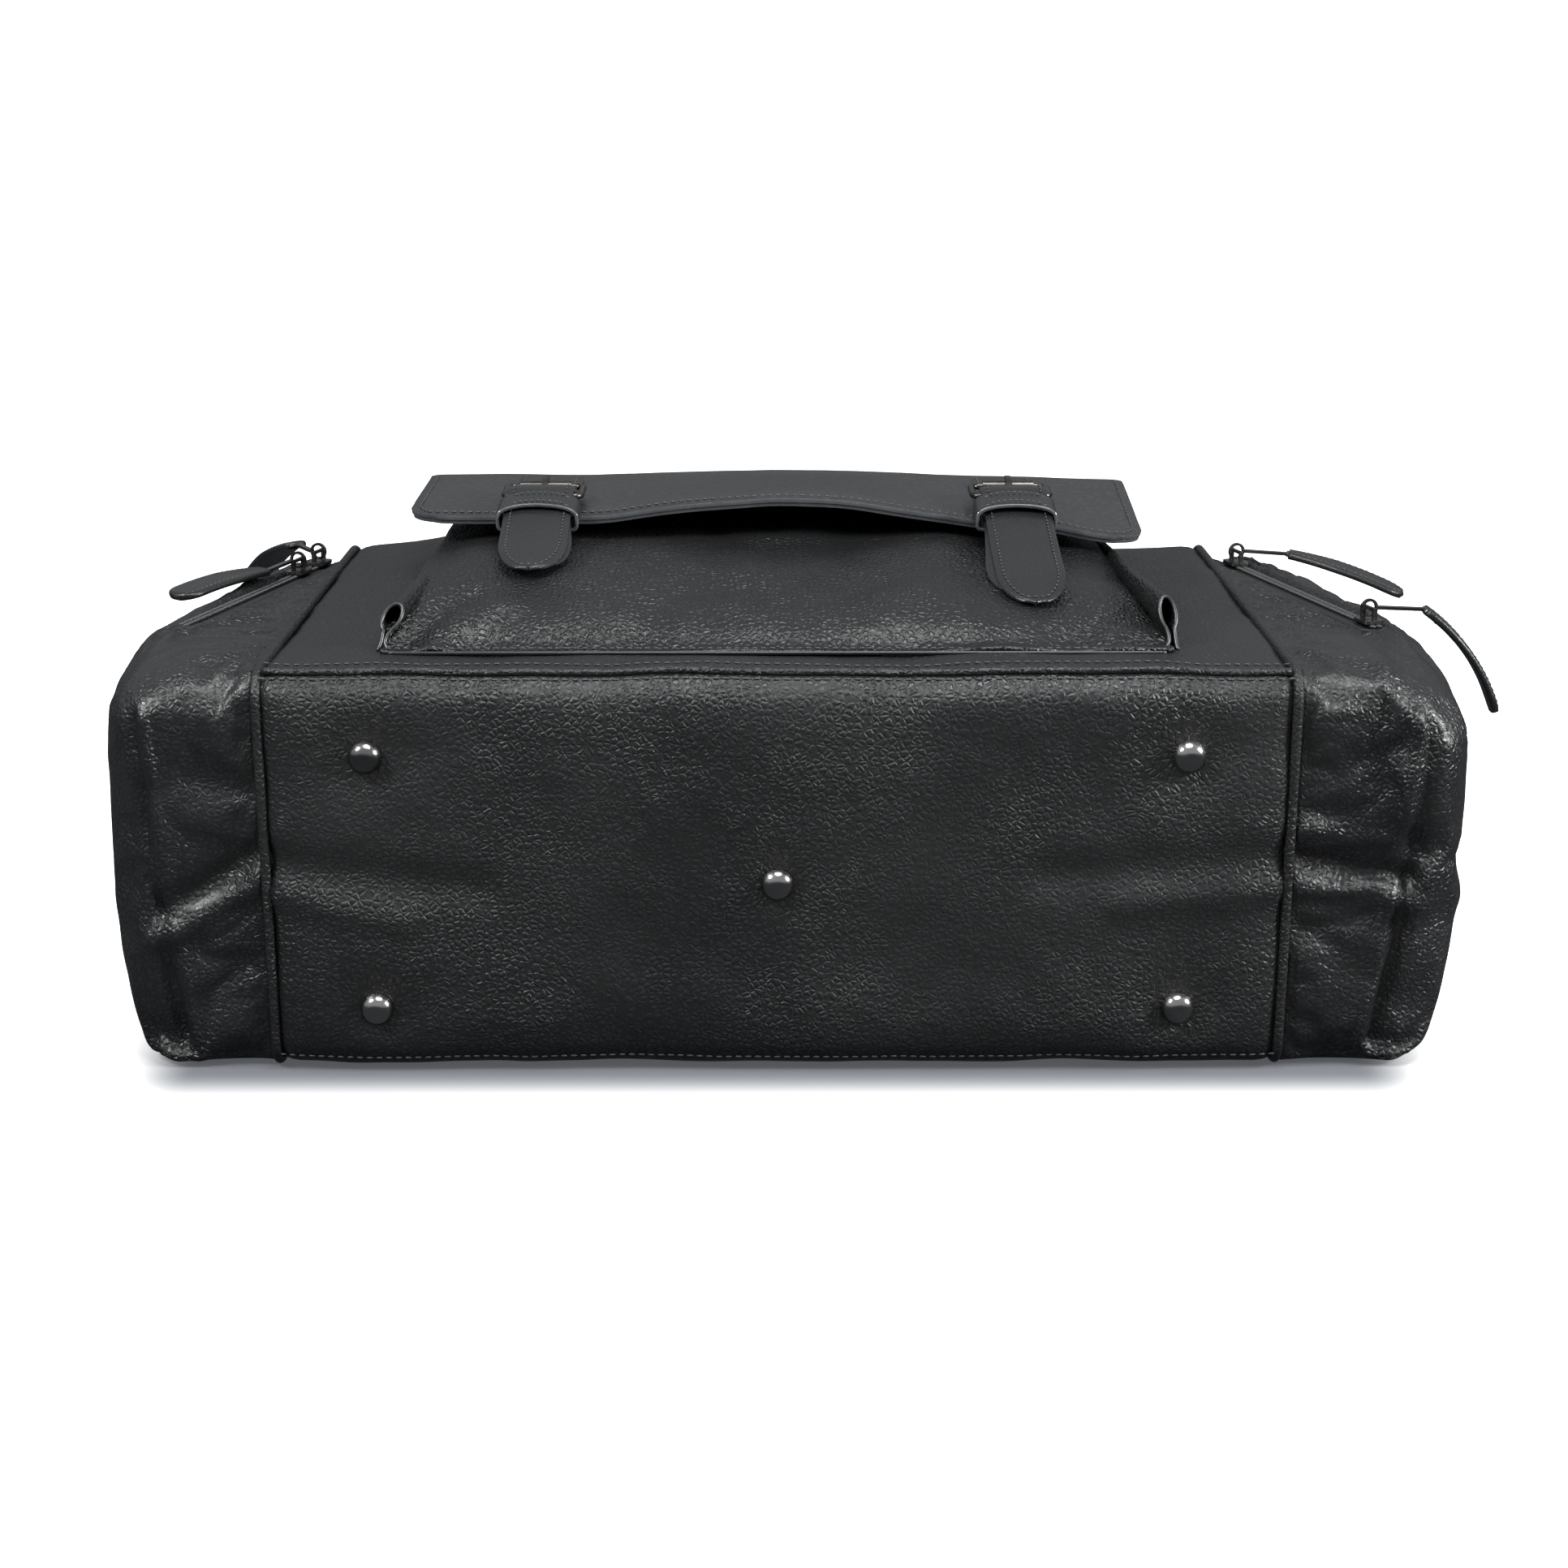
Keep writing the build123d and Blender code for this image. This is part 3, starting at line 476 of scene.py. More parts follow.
# %% Creases: start, end, half width, depth
creases = [
    ((-206, -145, 92), (-120, -145, 80), 8, -2.6),
    ((-206, -145, 78), (-150, -145, 66), 6, 2.0),
    ((205, -145, 95), (110, -145, 86), 8, -2.4),
    ((205, -145, 80), (140, -145, 74), 6, 1.8),
    ((-60, -145, 60), (60, -145, 52), 20, -1.2),
    ((-190, -145, 130), (-120, -145, 150), 14, -1.2),
    ((120, -145, 120), (190, -145, 146), 14, -1.2),
    ((-40, -145, 120), (60, -145, 128), 22, 1.2),
    ((-150, -145, 20), (-60, -145, 30), 14, 1.0),
    ((70, -145, 26), (160, -145, 18), 14, 1.0),
]
end_creases = {
    "right": [
        ((207, -142, 92), (252, -142, 84), 5, -5.0),
        ((210, -142, 80), (256, -142, 72), 5, 3.0),
        ((212, -142, 104), (250, -142, 99), 5, 3.0),
        ((252, -140, 100), (273, -122, 84), 6, -5.0),
        ((256, -140, 84), (272, -118, 68), 6, 3.0),
        ((257, -142, 158), (241, -142, 12), 2.6, 3.0),
        ((262, -141, 156), (246, -141, 12), 3.4, -4.6),
        ((224, -142, 128), (250, -142, 140), 7, -1.8),
        ((216, -142, 60), (240, -142, 40), 8, -1.8),
        ((272, -90, 120), (272, -10, 60), 16, -5.0),
        ((268, -60, 60), (262, 20, 110), 14, 3.0),
    ],
    "left": [
        ((-208, -142, 96), (-246, -142, 72), 6, -4.0),
        ((-210, -142, 82), (-250, -142, 58), 6, 2.6),
        ((-252, -140, 120), (-262, -130, 60), 6, -3.4),
        ((-214, -142, 120), (-240, -142, 128), 8, -2.0),
        ((-252, -142, 150), (-240, -142, 14), 2.6, 2.2),
        ((-257, -141, 150), (-245, -141, 14), 3.2, -3.4),
        ((-270, -90, 100), (-266, -10, 60), 16, -5.0),
        ((-262, -60, 60), (-258, 20, 110), 14, 3.0),
    ],
}
pocket_creases = [
    ((-152, -104, 176), (-128, -70, 188), 7, -3.6),
    ((-140, -108, 170), (-112, -80, 184), 7, 2.4),
    ((-60, -96, 180), (-30, -60, 188), 16, -2.4),
    ((30, -70, 186), (70, -40, 190), 18, -2.0),
    ((120, -100, 174), (156, -84, 180), 9, -2.4),
    ((-20, -106, 174), (40, -104, 174), 10, 1.6),
]
print("creases", len(creases), len(end_creases["right"]), len(end_creases["left"]), len(pocket_creases))


# %% Field that moves the skins
def near_segment(points, start, end):
    """Distance of each point from a segment."""
    start, end = np.array(start, float), np.array(end, float)
    along = end - start
    t = np.clip((points - start) @ along / (along @ along), 0, 1)
    return np.linalg.norm(points - start - t[:, None] * along, axis=1)


def crown(points, outward):
    """The front panel stands up in a soft crown at its left and sinks a little at its right."""
    x, y = points[:, 0], points[:, 1]
    ends = np.clip((half_length - np.abs(x)) / 60, 0, 1)
    rise = np.clip((y - base_y - 60) / 120, 0, 1) * np.clip((top_y - y) / 30, 0, 1)
    toward_right = np.clip((x + 20) / 100, 0, 1)
    height = 10.0 * (1 - toward_right) - 3.0 * toward_right
    return height * ends * rise * np.clip(outward[:, 2], 0, 1)


foot_places = [(-164, 28), (164, 28), (0, 82), (-164, 136), (164, 136)]


def pillow(points):
    """The base swells over its stiff board, and each foot pulls a dimple in it."""
    x, y, z = points.T
    on_base = np.clip((base_y + 4 - y) / 4, 0, 1)
    rise = np.clip(z / 22, 0, 1) * np.clip((base_depth - z) / 22, 0, 1)
    rise = rise * np.clip((half_length - np.abs(x)) / 18, 0, 1)
    swell = 3.2 * rise**0.7
    for foot_x, foot_z in foot_places:
        away = np.hypot(x - foot_x, z - foot_z)
        swell = swell * (1 - np.exp(-((away / 16) ** 2)))
    return swell * on_base


def soft_field(points, folds, swell):
    """How far each point stands out, in millimetres."""
    big = np.array([noise.noise(Vector(p) / 47) for p in points])
    small = np.array([noise.noise(Vector(p) / 18 + Vector((9, 4, 2))) for p in points])
    out = swell * (1.5 * big + 0.55 * small)
    for start, end, width, depth in folds:
        out += depth * np.exp(-((near_segment(points, start, end) / width) ** 2))
    for foot_x, foot_z in foot_places:
        away = np.hypot(points[:, 0] - foot_x, points[:, 2] - foot_z)
        hold = np.exp(-((away / 11) ** 2)) * (points[:, 1] < base_y + 6)
        out = out * (1 - hold)
    return out


# %% Mesh from a grid
def mesh_object(name, points, faces, material):
    """A smooth-shaded mesh from points in millimetres."""
    mesh = bpy.data.meshes.new(name)
    mesh.from_pydata([tuple(p) for p in np.asarray(points) * mm], [], faces)
    mesh.materials.append(material)
    mesh.shade_smooth()
    made = bpy.data.objects.new(name, mesh)
    scene.collection.objects.link(made)
    return made


def grid_faces(rows, columns, wrap=False, flip=False):
    """Four-sided faces of a grid whose points are listed row by row."""
    faces = []
    for i in range(rows - 1):
        for j in range(columns if wrap else columns - 1):
            k = (j + 1) % columns
            corners = (i * columns + j, (i + 1) * columns + j, (i + 1) * columns + k, i * columns + k)
            faces.append(corners[::-1] if flip else corners)
    return faces


def normals_of(points, faces):
    """Which way is out at each point."""
    mesh = bpy.data.meshes.new("scratch")
    mesh.from_pydata([tuple(p) for p in points], [], faces)
    out = np.zeros(len(points) * 3)
    mesh.vertex_normals.foreach_get("vector", out)
    bpy.data.meshes.remove(mesh)
    return out.reshape(-1, 3)


def settle_leather(made, held, pressure, slack, cap, frames=20):
    """Lets the skin swell and wrinkle as cloth, held at some points and never further than cap."""
    mesh = made.data
    rest = np.zeros(len(mesh.vertices) * 3)
    mesh.vertices.foreach_get("co", rest)
    rest = rest.reshape(-1, 3)
    group = made.vertex_groups.new(name="held")
    group.add([int(i) for i in np.flatnonzero(held)], 1.0, "REPLACE")
    cloth = made.modifiers.new("settle", "CLOTH")
    rules = cloth.settings
    rules.quality, rules.mass = 5, 0.3
    rules.tension_stiffness = rules.compression_stiffness = 12.0
    rules.shear_stiffness, rules.bending_stiffness = 6.0, 0.9
    rules.use_pressure, rules.uniform_pressure_force = True, pressure
    rules.shrink_min = rules.shrink_max = -slack
    rules.effector_weights.gravity = 0.0
    rules.vertex_group_mass = "held"
    cloth.collision_settings.use_collision = False
    cloth.point_cache.frame_start, cloth.point_cache.frame_end = 1, frames
    for step in range(1, frames + 1):
        scene.frame_set(step)
    swollen = made.evaluated_get(bpy.context.evaluated_depsgraph_get()).data
    moved = np.zeros(len(rest) * 3)
    swollen.vertices.foreach_get("co", moved)
    shift = moved.reshape(-1, 3) - rest
    far = np.linalg.norm(shift, axis=1)
    shift *= np.minimum(1.0, cap * mm / np.maximum(far, 1e-9))[:, None]
    made.modifiers.remove(cloth)
    made.vertex_groups.clear()
    mesh.vertices.foreach_set("co", (rest + shift).ravel())
    mesh.update()
    scene.frame_set(1)
    print(made.name, "settled, furthest", round(float(far.max()) / mm, 1), "mm")


def skin(
    name, grid, material, folds=(), swell=1.0, thick=2.4, wrap=False, flip=False, shape=None, settle=None
):
    """A soft leather skin from rows of points, moved by the field and given a thickness."""
    rows, columns = len(grid), len(grid[0])
    points = np.array(grid, float).reshape(-1, 3)
    faces = grid_faces(rows, columns, wrap, flip)
    outward = normals_of(points, faces)
    moved = soft_field(points, folds, swell)
    if shape is not None:
        moved = moved + shape(points, outward)
    points = points + outward * moved[:, None]
    # Nothing sinks into the table that the bag lies on.
    points[:, 2] = np.maximum(points[:, 2], 0.0)
    made = mesh_object(name, points, faces, material)
    if settle is not None:
        settle_leather(made, settle["held"](points), settle["pressure"], settle["slack"], settle["cap"])
    if thick:
        made.data.materials.append(lining)
        shell = made.modifiers.new("thickness", "SOLIDIFY")
        shell.thickness, shell.offset, shell.material_offset = thick * mm, -1.0, 1
        shell.material_offset_rim = 0
        settle_modifiers(made)
    return made


def settle_modifiers(made):
    """Replaces the mesh by its modified one."""
    evaluated = made.evaluated_get(bpy.context.evaluated_depsgraph_get())
    mesh = bpy.data.meshes.new_from_object(evaluated)
    made.modifiers.clear()
    made.data = mesh


def register(made, body, slot, *nodes, fill=None):
    """Says which body the piece moves with and the nodes that it stands for. Its material slot is not used.
    """
    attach(made, body)
    if nodes:
        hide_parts(*nodes)
    print(made.name, len(made.data.polygons), "faces on", body)
    return made


# %% [markdown]
# ## Body panels
#
# The base, front, back and top are one outline drawn out along the bag and cut at the seams. A
# maker sews them from flat hides, and here they are cut from one outline so that every seam
# meets. The edges of each cut turn in a little, which leaves the dark groove of a sewn seam.

# %% Cut the outline at its seams
section_corners = [(base_y, 0), (base_y, base_depth), (top_y, top_depth), (top_y, 0)]
section_radii = [base_corner_r, base_corner_r, top_corner_r, top_corner_r]
outline = rounded_loop(section_corners, section_radii, 1200)
outline = np.roll(outline, -int(np.argmin(np.abs(outline[:, 0] - base_seam_y) + outline[:, 1])), axis=0)


def first_after(start, test):
    """Index of the first outline point from start on that passes the test."""
    return next(i for i in range(start, len(outline)) if test(outline[i]))


cut_front = first_after(200, lambda p: p[0] >= base_seam_y and p[1] > 100)
cut_top = first_after(cut_front, lambda p: p[0] > 100 and p[1] <= top_seam_front)
cut_mouth = first_after(cut_top, lambda p: p[1] <= mouth_high)
cut_mouth_end = first_after(cut_mouth, lambda p: p[1] <= mouth_low)
cut_back = first_after(cut_mouth_end, lambda p: p[1] <= top_seam_back)
print("seams at", cut_front, cut_top, cut_mouth, cut_mouth_end, cut_back)


def body_panel(name, x_range, first, last, material, across=3.4):
    """A panel between two places on the outline."""
    stretch = outline[first : last + 1]
    length = np.sum(np.linalg.norm(np.diff(stretch, axis=0), axis=1))
    profile = even(stretch, max(4, int(length / across)))
    xs = np.linspace(x_range[0], x_range[1], max(6, int((x_range[1] - x_range[0]) / across)))
    grid = [[(x, y, z) for y, z in profile] for x in xs]
    edge_run = 3.0

    def seam_turn(points, outward):
        """Edges dip into the seams at both ends of the bag, and the front panel crowns."""
        gap = half_length - np.abs(points[:, 0])
        return crown(points, outward) + pillow(points) - 1.6 * np.exp(-((gap / edge_run) ** 2))

    return skin(name, grid, material, creases, 1.0, shape=seam_turn)


whole = (-half_length, half_length)
base = body_panel("base_leather", whole, 0, cut_front, body_leather)
register(base, "root", "body_leather", "base_panel", fill=0.4)
front = body_panel("front_leather", whole, cut_front, cut_top, body_leather)
register(front, "root", "body_leather", "front_panel", fill=0.4)
back = body_panel("back_leather", whole, cut_back, len(outline) - 1, body_leather)
register(back, "root", "body_leather", "back_panel", fill=0.4)
hinged = (-hinged_half, hinged_half)
top_front = body_panel("top_front_leather", hinged, cut_top + 1, cut_mouth, body_leather)
register(top_front, "top_front", "body_leather", "top_front_panel", fill=0.4)
top_back = body_panel("top_back_leather", hinged, cut_mouth_end, cut_back - 1, body_leather)
register(top_back, "top_back", "body_leather", "top_back_panel", fill=0.4)
for number, x_range in enumerate(((-half_length, -hinged_half - 0.4), (hinged_half + 0.4, half_length))):
    for letter, first, last in (("a", cut_top, cut_mouth), ("b", cut_mouth_end, cut_back)):
        piece = body_panel(f"zip_end_leather_{number}{letter}", x_range, first, last, body_leather)
        register(piece, "root", "body_leather", "zip_end_panels", fill=0.4)

# %% [markdown]
# ## End panels
#
# Each end is closed by a panel that a piping cord runs round. Rings of points that shrink to
# the middle give a panel with no pole showing and a gentle swell.


# %% End panels
def shrunk(loop, share, middle):
    return middle + (loop - middle) * share


def end_panel(side, sign):
    """A swelling panel inside the piping of one end."""
    loop = rounded_loop(
        [(base_y + 3, 3), (base_y + 3, base_depth - 3), (top_y - 3, top_depth - 3), (top_y - 3, 3)],
        [base_corner_r - 3, base_corner_r - 3, top_corner_r - 3, top_corner_r - 3],
        200,
    )
    middle = loop.mean(axis=0)
    rings = []
    for share in np.linspace(1.0, 0.01, 26):
        ring = shrunk(loop, share, middle)
        x = sign * (end_x - 3.0 + 4.5 * (1 - share**4))
        rings.append([(x, y, z) for y, z in ring])
    made = skin(f"{side}_end_leather", rings, body_leather, (), 0.8, wrap=True, flip=sign < 0)
    return register(made, "root", "body_leather", f"{side}_end_panel", fill=0.4)


for side, sign in (("left", -1), ("right", 1)):
    end_panel(side, sign)

# %% [markdown]
# ## End pockets
#
# A zipped pocket hangs on each end like a soft lobe: a gusset band, a sewn ridge, and a face
# that rounds over and sags. Rings run out from the seam along the gusset, round the outer edge
# and in to the middle of the face. The pocket is deepest near the base and thins out towards
# the top, so every ring is squeezed by a curve along the bag's height. The slanted zip sinks
# into a groove, as the tape is sewn under the leather.

# %% End pockets
zip_foot = np.array([258.0, base_y + 100.0])
zip_lean = np.array([-44.0, 158.0])
zip_run = 152.0
zip_dir = zip_lean / np.linalg.norm(zip_lean)
pocket_top = base_y + 262.0
lobe_shape = {"left": (269.0, 12.0, 10.0), "right": (277.0, 14.0, 20.0)}


def lobe_width(y):
    """Share of the full depth that the pocket has at y."""
    heights = [3, 22, 60, 100, 130, 207, 240, 262]
    shares = [0.90, 0.99, 1.0, 0.99, 0.92, 0.62, 0.42, 0.2]
    return np.interp(y - base_y, heights, shares)


def end_pocket(side, sign):
    """A soft lobe standing out from one end of the bag."""
    outer, edge_r, sag = lobe_shape[side]
    start, ridge = end_x + 0.4, outer - edge_r * 0.55 - 6
    y_low, y_high, z_low = base_y + 3.0, pocket_top, 1.5
    count = 330

    def ring(inset):
        z_left, z_right = front_z(y_low) - 1.5 - inset, front_z(y_high) - 1.5 - inset
        corners = [
            (y_low + inset * 0.8, z_low + inset * 0.7),
            (y_low + inset * 0.8, z_left),
            (y_high - inset, z_right),
            (y_high - inset, z_low + inset * 0.7),
        ]
        return rounded_loop(corners, [4, 11, 14, 12], count)

    rings = [(x, ring(0.0)) for x in np.linspace(start, ridge, 26)]
    for turn in np.linspace(0, math.pi / 2, 16)[1:]:
        rings.append((ridge + (outer - ridge) * math.sin(turn), ring(edge_r * (1 - math.cos(turn)))))
    cap = rings[-1][1]
    middle = cap.mean(axis=0)
    for share in np.linspace(1, 0.01, 24)[1:]:
        rings.append((outer + 3.0 * (1 - share**2), shrunk(cap, share, middle)))
    grid = []
    for x, loop in rings:
        wide = lobe_width(loop[:, 0])
        # The leather between the two seams is drawn in slightly.
        waist = 1 - 0.035 * np.sin(np.pi * np.clip((x - start) / (ridge - start), 0, 1))
        y = base_y + 131 + (loop[:, 0] - base_y - 131) * (0.5 + 0.5 * waist)
        z = np.where(loop[:, 1] > 85, 85 + (loop[:, 1] - 85) * (0.35 + 0.65 * waist), loop[:, 1])
        # The upper corner next to the base sinks, because nothing fills it.
        sunk = np.clip((x - ridge + 18) / 26, 0, 1) * np.exp(-(((loop[:, 0] - base_y) / 52) ** 2))
        z = z - sag * sunk * np.clip((z - 60) / 100, 0, 1)
        # At the foot the lobe leans in, as its own weight rests on the floor.
        lean_in = 1 - 0.11 * np.clip((70 - z) / 70, 0, 1) ** 1.5
        grid.append(np.column_stack([sign * (start + (x - start) * wide * lean_in), y, np.maximum(z, 0.8)]))

    def zip_groove(points, outward):
        at = points[:, :2] * (sign, 1)
        run = (at - zip_foot) @ zip_dir
        off = np.abs((at - zip_foot) @ np.array([zip_dir[1], -zip_dir[0]]))
        inside = (run > -3) & (run < zip_run + 3) & (points[:, 2] > 120)
        return -4.0 * inside * np.exp(-((off / 6.2) ** 6))

    def held_points(points):
        at = points[:, :2] * (sign, 1)
        off = np.abs((at - zip_foot) @ np.array([zip_dir[1], -zip_dir[0]]))
        run = (at - zip_foot) @ zip_dir
        beside_zip = (off < 9) & (run > -8) & (run < zip_run + 8) & (points[:, 2] > 120)
        return (at[:, 0] < start + 3) | (points[:, 2] < 4) | beside_zip

    made = skin(
        f"{side}_end_pocket",
        grid,
        lobe_leather,
        end_creases[side],
        1.1,
        thick=2.0,
        wrap=True,
        flip=sign < 0,
        shape=zip_groove,
        settle={"held": held_points, "pressure": 3.0, "slack": 0.035, "cap": 4.5},
    )
    nodes = (f"{side}_pocket_gusset", f"{side}_pocket_face")
    return register(made, "root", "end_pocket_leather", *nodes, fill=0.5)


for side, sign in (("left", -1), ("right", 1)):
    end_pocket(side, sign)


# %% [markdown]
# ## Rows of small things
#
# Stitches, zip teeth and the ribs of a coil all repeat along a line. One Geometry Nodes tree
# makes them: it spaces points along a curve, turns a small bead to follow the curve and the
# surface, and fixes the result as real mesh. The spacing, the bead's size and the way that is
# out are inputs, so one tree sews every seam.

# %% The tree that sets beads along a line
def bead_tree():
    tree = bpy.data.node_groups.new("beads_along_a_line", "GeometryNodeTree")
    sockets = {}
    face = tree.interface
    face.new_socket("Geometry", in_out="INPUT", socket_type="NodeSocketGeometry")
    for label, kind in (("Pitch", "Float"), ("Size", "Vector"), ("Out", "Vector"), ("Finish", "Material")):
        item = face.new_socket(label, in_out="INPUT", socket_type=f"NodeSocket{kind}")
        sockets[label] = item.identifier
    face.new_socket("Geometry", in_out="OUTPUT", socket_type="NodeSocketGeometry")

    def add(kind, **settings):
        made = tree.nodes.new(kind)
        for name, value in settings.items():
            setattr(made, name, value)
        return made

    def join(source, output, target, entry):
        tree.links.new(source.outputs[output], target.inputs[entry])

    source, sink = add("NodeGroupInput"), add("NodeGroupOutput")
    spaced = add("GeometryNodeResampleCurve", mode="LENGTH")
    tangent = add("GeometryNodeInputTangent")
    turn = add("FunctionNodeAlignRotationToVector", axis="X")
    face_out = add("FunctionNodeAlignRotationToVector", axis="Z", pivot_axis="X")
    bead = add("GeometryNodeMeshUVSphere")
    bead.inputs["Segments"].default_value, bead.inputs["Rings"].default_value = 6, 5
    bead.inputs["Radius"].default_value = 0.5
    placed = add("GeometryNodeInstanceOnPoints")
    real = add("GeometryNodeRealizeInstances")
    round_shade = add("GeometryNodeSetShadeSmooth")
    coloured = add("GeometryNodeSetMaterial")
    join(source, "Geometry", spaced, "Curve")
    join(source, "Pitch", spaced, "Length")
    join(tangent, 0, turn, "Vector")
    join(turn, 0, face_out, "Rotation")
    join(source, "Out", face_out, "Vector")
    join(spaced, 0, placed, "Points")
    join(bead, 0, placed, "Instance")
    join(face_out, 0, placed, "Rotation")
    join(source, "Size", placed, "Scale")
    join(placed, 0, real, 0)
    join(real, 0, round_shade, 0)
    join(round_shade, 0, coloured, 0)
    join(source, "Finish", coloured, "Material")
    join(coloured, 0, sink, 0)
    return tree, sockets


beads, bead_inputs = bead_tree()
print("bead tree inputs", bead_inputs)


# %% Rows of beads, joined to one mesh
def row_mesh(lines, pitch, size, out, finish):
    """One mesh of beads along several lines of points in millimetres."""
    curve = bpy.data.curves.new("row", "CURVE")
    curve.dimensions = "3D"
    for line in lines:
        spline = curve.splines.new("POLY")
        spline.points.add(len(line) - 1)
        spline.points.foreach_set("co", np.column_stack([np.asarray(line) * mm, np.ones(len(line))]).ravel())
    holder = bpy.data.objects.new("row", curve)
    scene.collection.objects.link(holder)
    rule = holder.modifiers.new("beads", "NODES")
    rule.node_group = beads
    rule[bead_inputs["Pitch"]] = pitch * mm
    rule[bead_inputs["Size"]] = [s * mm for s in size]
    rule[bead_inputs["Out"]] = list(out)
    rule[bead_inputs["Finish"]] = finish
    mesh = bpy.data.meshes.new_from_object(holder.evaluated_get(bpy.context.evaluated_depsgraph_get()))
    bpy.data.objects.remove(holder)
    return mesh


def row_piece(name, runs, body, slot, finish, *nodes):
    """Several rows of beads as one piece. Each run is (lines, pitch, size, out)."""
    joined = bmesh.new()
    for lines, pitch, size, out in runs:
        mesh = row_mesh(lines, pitch, size, out, finish)
        joined.from_mesh(mesh)
        bpy.data.meshes.remove(mesh)
    mesh = bpy.data.meshes.new(name)
    joined.to_mesh(mesh)
    joined.free()
    mesh.materials.append(finish)
    mesh.shade_smooth()
    made = bpy.data.objects.new(name, mesh)
    scene.collection.objects.link(made)
    return register(made, body, slot, *nodes)


stitch = (3.0, 0.9, 0.7)
stitch_pitch = 4.0


# %% [markdown]
# ## Seams, piping and stitches
#
# A cord covered in leather runs along the front base seam and round both ends. Beside it runs
# a row of thread. The lines follow the same soft field as the skins, so the thread lies on the
# leather and not in it.

# %% Lines on the soft surface
def on_body(points, out, lift=0.0):
    """Points on the drawn surface, moved with the skin and lifted off it."""
    points = np.asarray(points, float)
    out = np.tile(np.array(out, float), (len(points), 1)) if np.ndim(out) == 1 else out
    moved = soft_field(points, creases, 1.0) + crown(points, out) + pillow(points)
    return points + out * (moved + lift)[:, None]


def tube(name, line, radius, material, closed=False, flat=1.0, sides=12, up=(0, 0, 1)):
    """A soft cord along a line, squashed by flat in the up direction."""
    line = np.asarray(line, float)
    if closed:
        ahead = np.roll(line, -1, axis=0) - np.roll(line, 1, axis=0)
    else:
        ahead = np.gradient(line, axis=0)
    ahead /= np.linalg.norm(ahead, axis=1)[:, None]
    side = np.cross(ahead, np.array(up, float))
    side /= np.linalg.norm(side, axis=1)[:, None]
    high = np.cross(side, ahead)
    angles = np.linspace(0, 2 * math.pi, sides, endpoint=False)
    wide = np.broadcast_to(radius, (len(line),))
    rings = [
        line[i] + wide[i] * (np.cos(angles)[:, None] * side[i] + flat * np.sin(angles)[:, None] * high[i])
        for i in range(len(line))
    ]
    points = np.array(rings).reshape(-1, 3)
    faces = grid_faces(len(line), sides, wrap=True)
    if closed:
        last = (len(line) - 1) * sides
        for j in range(sides):
            k = (j + 1) % sides
            faces.append((last + j, j, k, last + k))
    else:
        faces.append(tuple(range(sides)))
        faces.append(tuple(range(len(points) - 1, len(points) - sides - 1, -1)))
    made = mesh_object(name, points, faces, material)
    outside_out(made)
    return made


def outside_out(made):
    """Makes every face of a closed mesh point outwards."""
    work = bmesh.new()
    work.from_mesh(made.data)
    bmesh.ops.recalc_face_normals(work, faces=work.faces)
    work.to_mesh(made.data)
    work.free()


xs = np.linspace(-half_length + 1, half_length - 1, 220)
seam_y, seam_z = outline[cut_front]
seam_out = np.array([0, -0.45, 0.89])
seam_line = on_body(np.column_stack([xs, xs * 0 + seam_y, xs * 0 + seam_z]), seam_out, 0.5)
piping = tube("base_piping_cord", seam_line, 1.6, body_leather)
register(piping, "root", "piping", "base_piping")
end_loop = rounded_loop(section_corners, section_radii, 360)
loop_ahead = np.roll(end_loop, -1, 0) - np.roll(end_loop, 1, 0)
out_2d = np.column_stack([-loop_ahead[:, 1], loop_ahead[:, 0]])
out_2d /= np.linalg.norm(out_2d, axis=1)[:, None]
end_loop = end_loop - out_2d * 1.2
for side, sign in (("left", -1), ("right", 1)):
    around = np.column_stack([np.full(len(end_loop), sign * (half_length + 1.6)), end_loop])
    cord = tube(f"{side}_end_piping_cord", around, 2.1, body_leather, closed=True, up=(1, 0, 0))
    register(cord, "root", "piping", "end_piping")

# %% Stitches of the body
def seam_row(index):
    """A line along the bag at one outline point, on the soft surface, and its way out."""
    ahead = outline[index + 4] - outline[index - 4]
    out = np.array([0, -ahead[1], ahead[0]]) / np.linalg.norm(ahead)
    y, z = outline[index]
    return on_body(np.column_stack([xs, xs * 0 + y, xs * 0 + z]), out, 0.45), tuple(out)


outline_step = np.linalg.norm(outline[1] - outline[0])
beside_seam = int(4.2 / outline_step)
body_rows = []
for index in (int(9.0 / outline_step), cut_front - beside_seam, cut_front + int(9.0 / outline_step)):
    line, out = seam_row(index)
    body_rows.append(([line], stitch_pitch, stitch, out))
top_rows = []
for z in (top_seam_front + 5, top_seam_back - 5):
    line = np.column_stack([xs, xs * 0 + top_y - 0.4, xs * 0 + z])
    top_rows.append(on_body(line, (0, 1, 0), -0.1))
body_rows.append((top_rows, stitch_pitch, stitch, (0, 1, 0)))
row_piece("body_stitches", body_rows, "root", "piping", thread)

# %% [markdown]
# ## Front pocket
#
# A bellows pocket stands on the front panel. Its face is one hide that rises from a stitched
# hem, rolls over and runs back under the flap. Its two sides are folded like a paper bag, and
# the near end of each fold stays open as a small loop. The face is a soft grid; each fold is a
# strip bent to that loop's outline and swept back along the pocket's edge.

# %% Pocket face
pocket_half = highest("front_pocket")[0]
pocket_foot = lowest("front_pocket")[1]
face_half = pocket_half - 5.0
face_profile = [
    (pocket_foot - 3.0, front_z(pocket_foot) + 1.6),
    (pocket_foot + 2.0, front_z(pocket_foot) + 1.8),
    (pocket_foot + 5.0, 171.5),
    (pocket_foot + 14.0, 178.5),
    (pocket_foot + 34.0, 184.5),
    (pocket_foot + 70.0, 188.5),
    (pocket_foot + 130.0, 190.5),
    (pocket_foot + 166.0, 191.5),
]


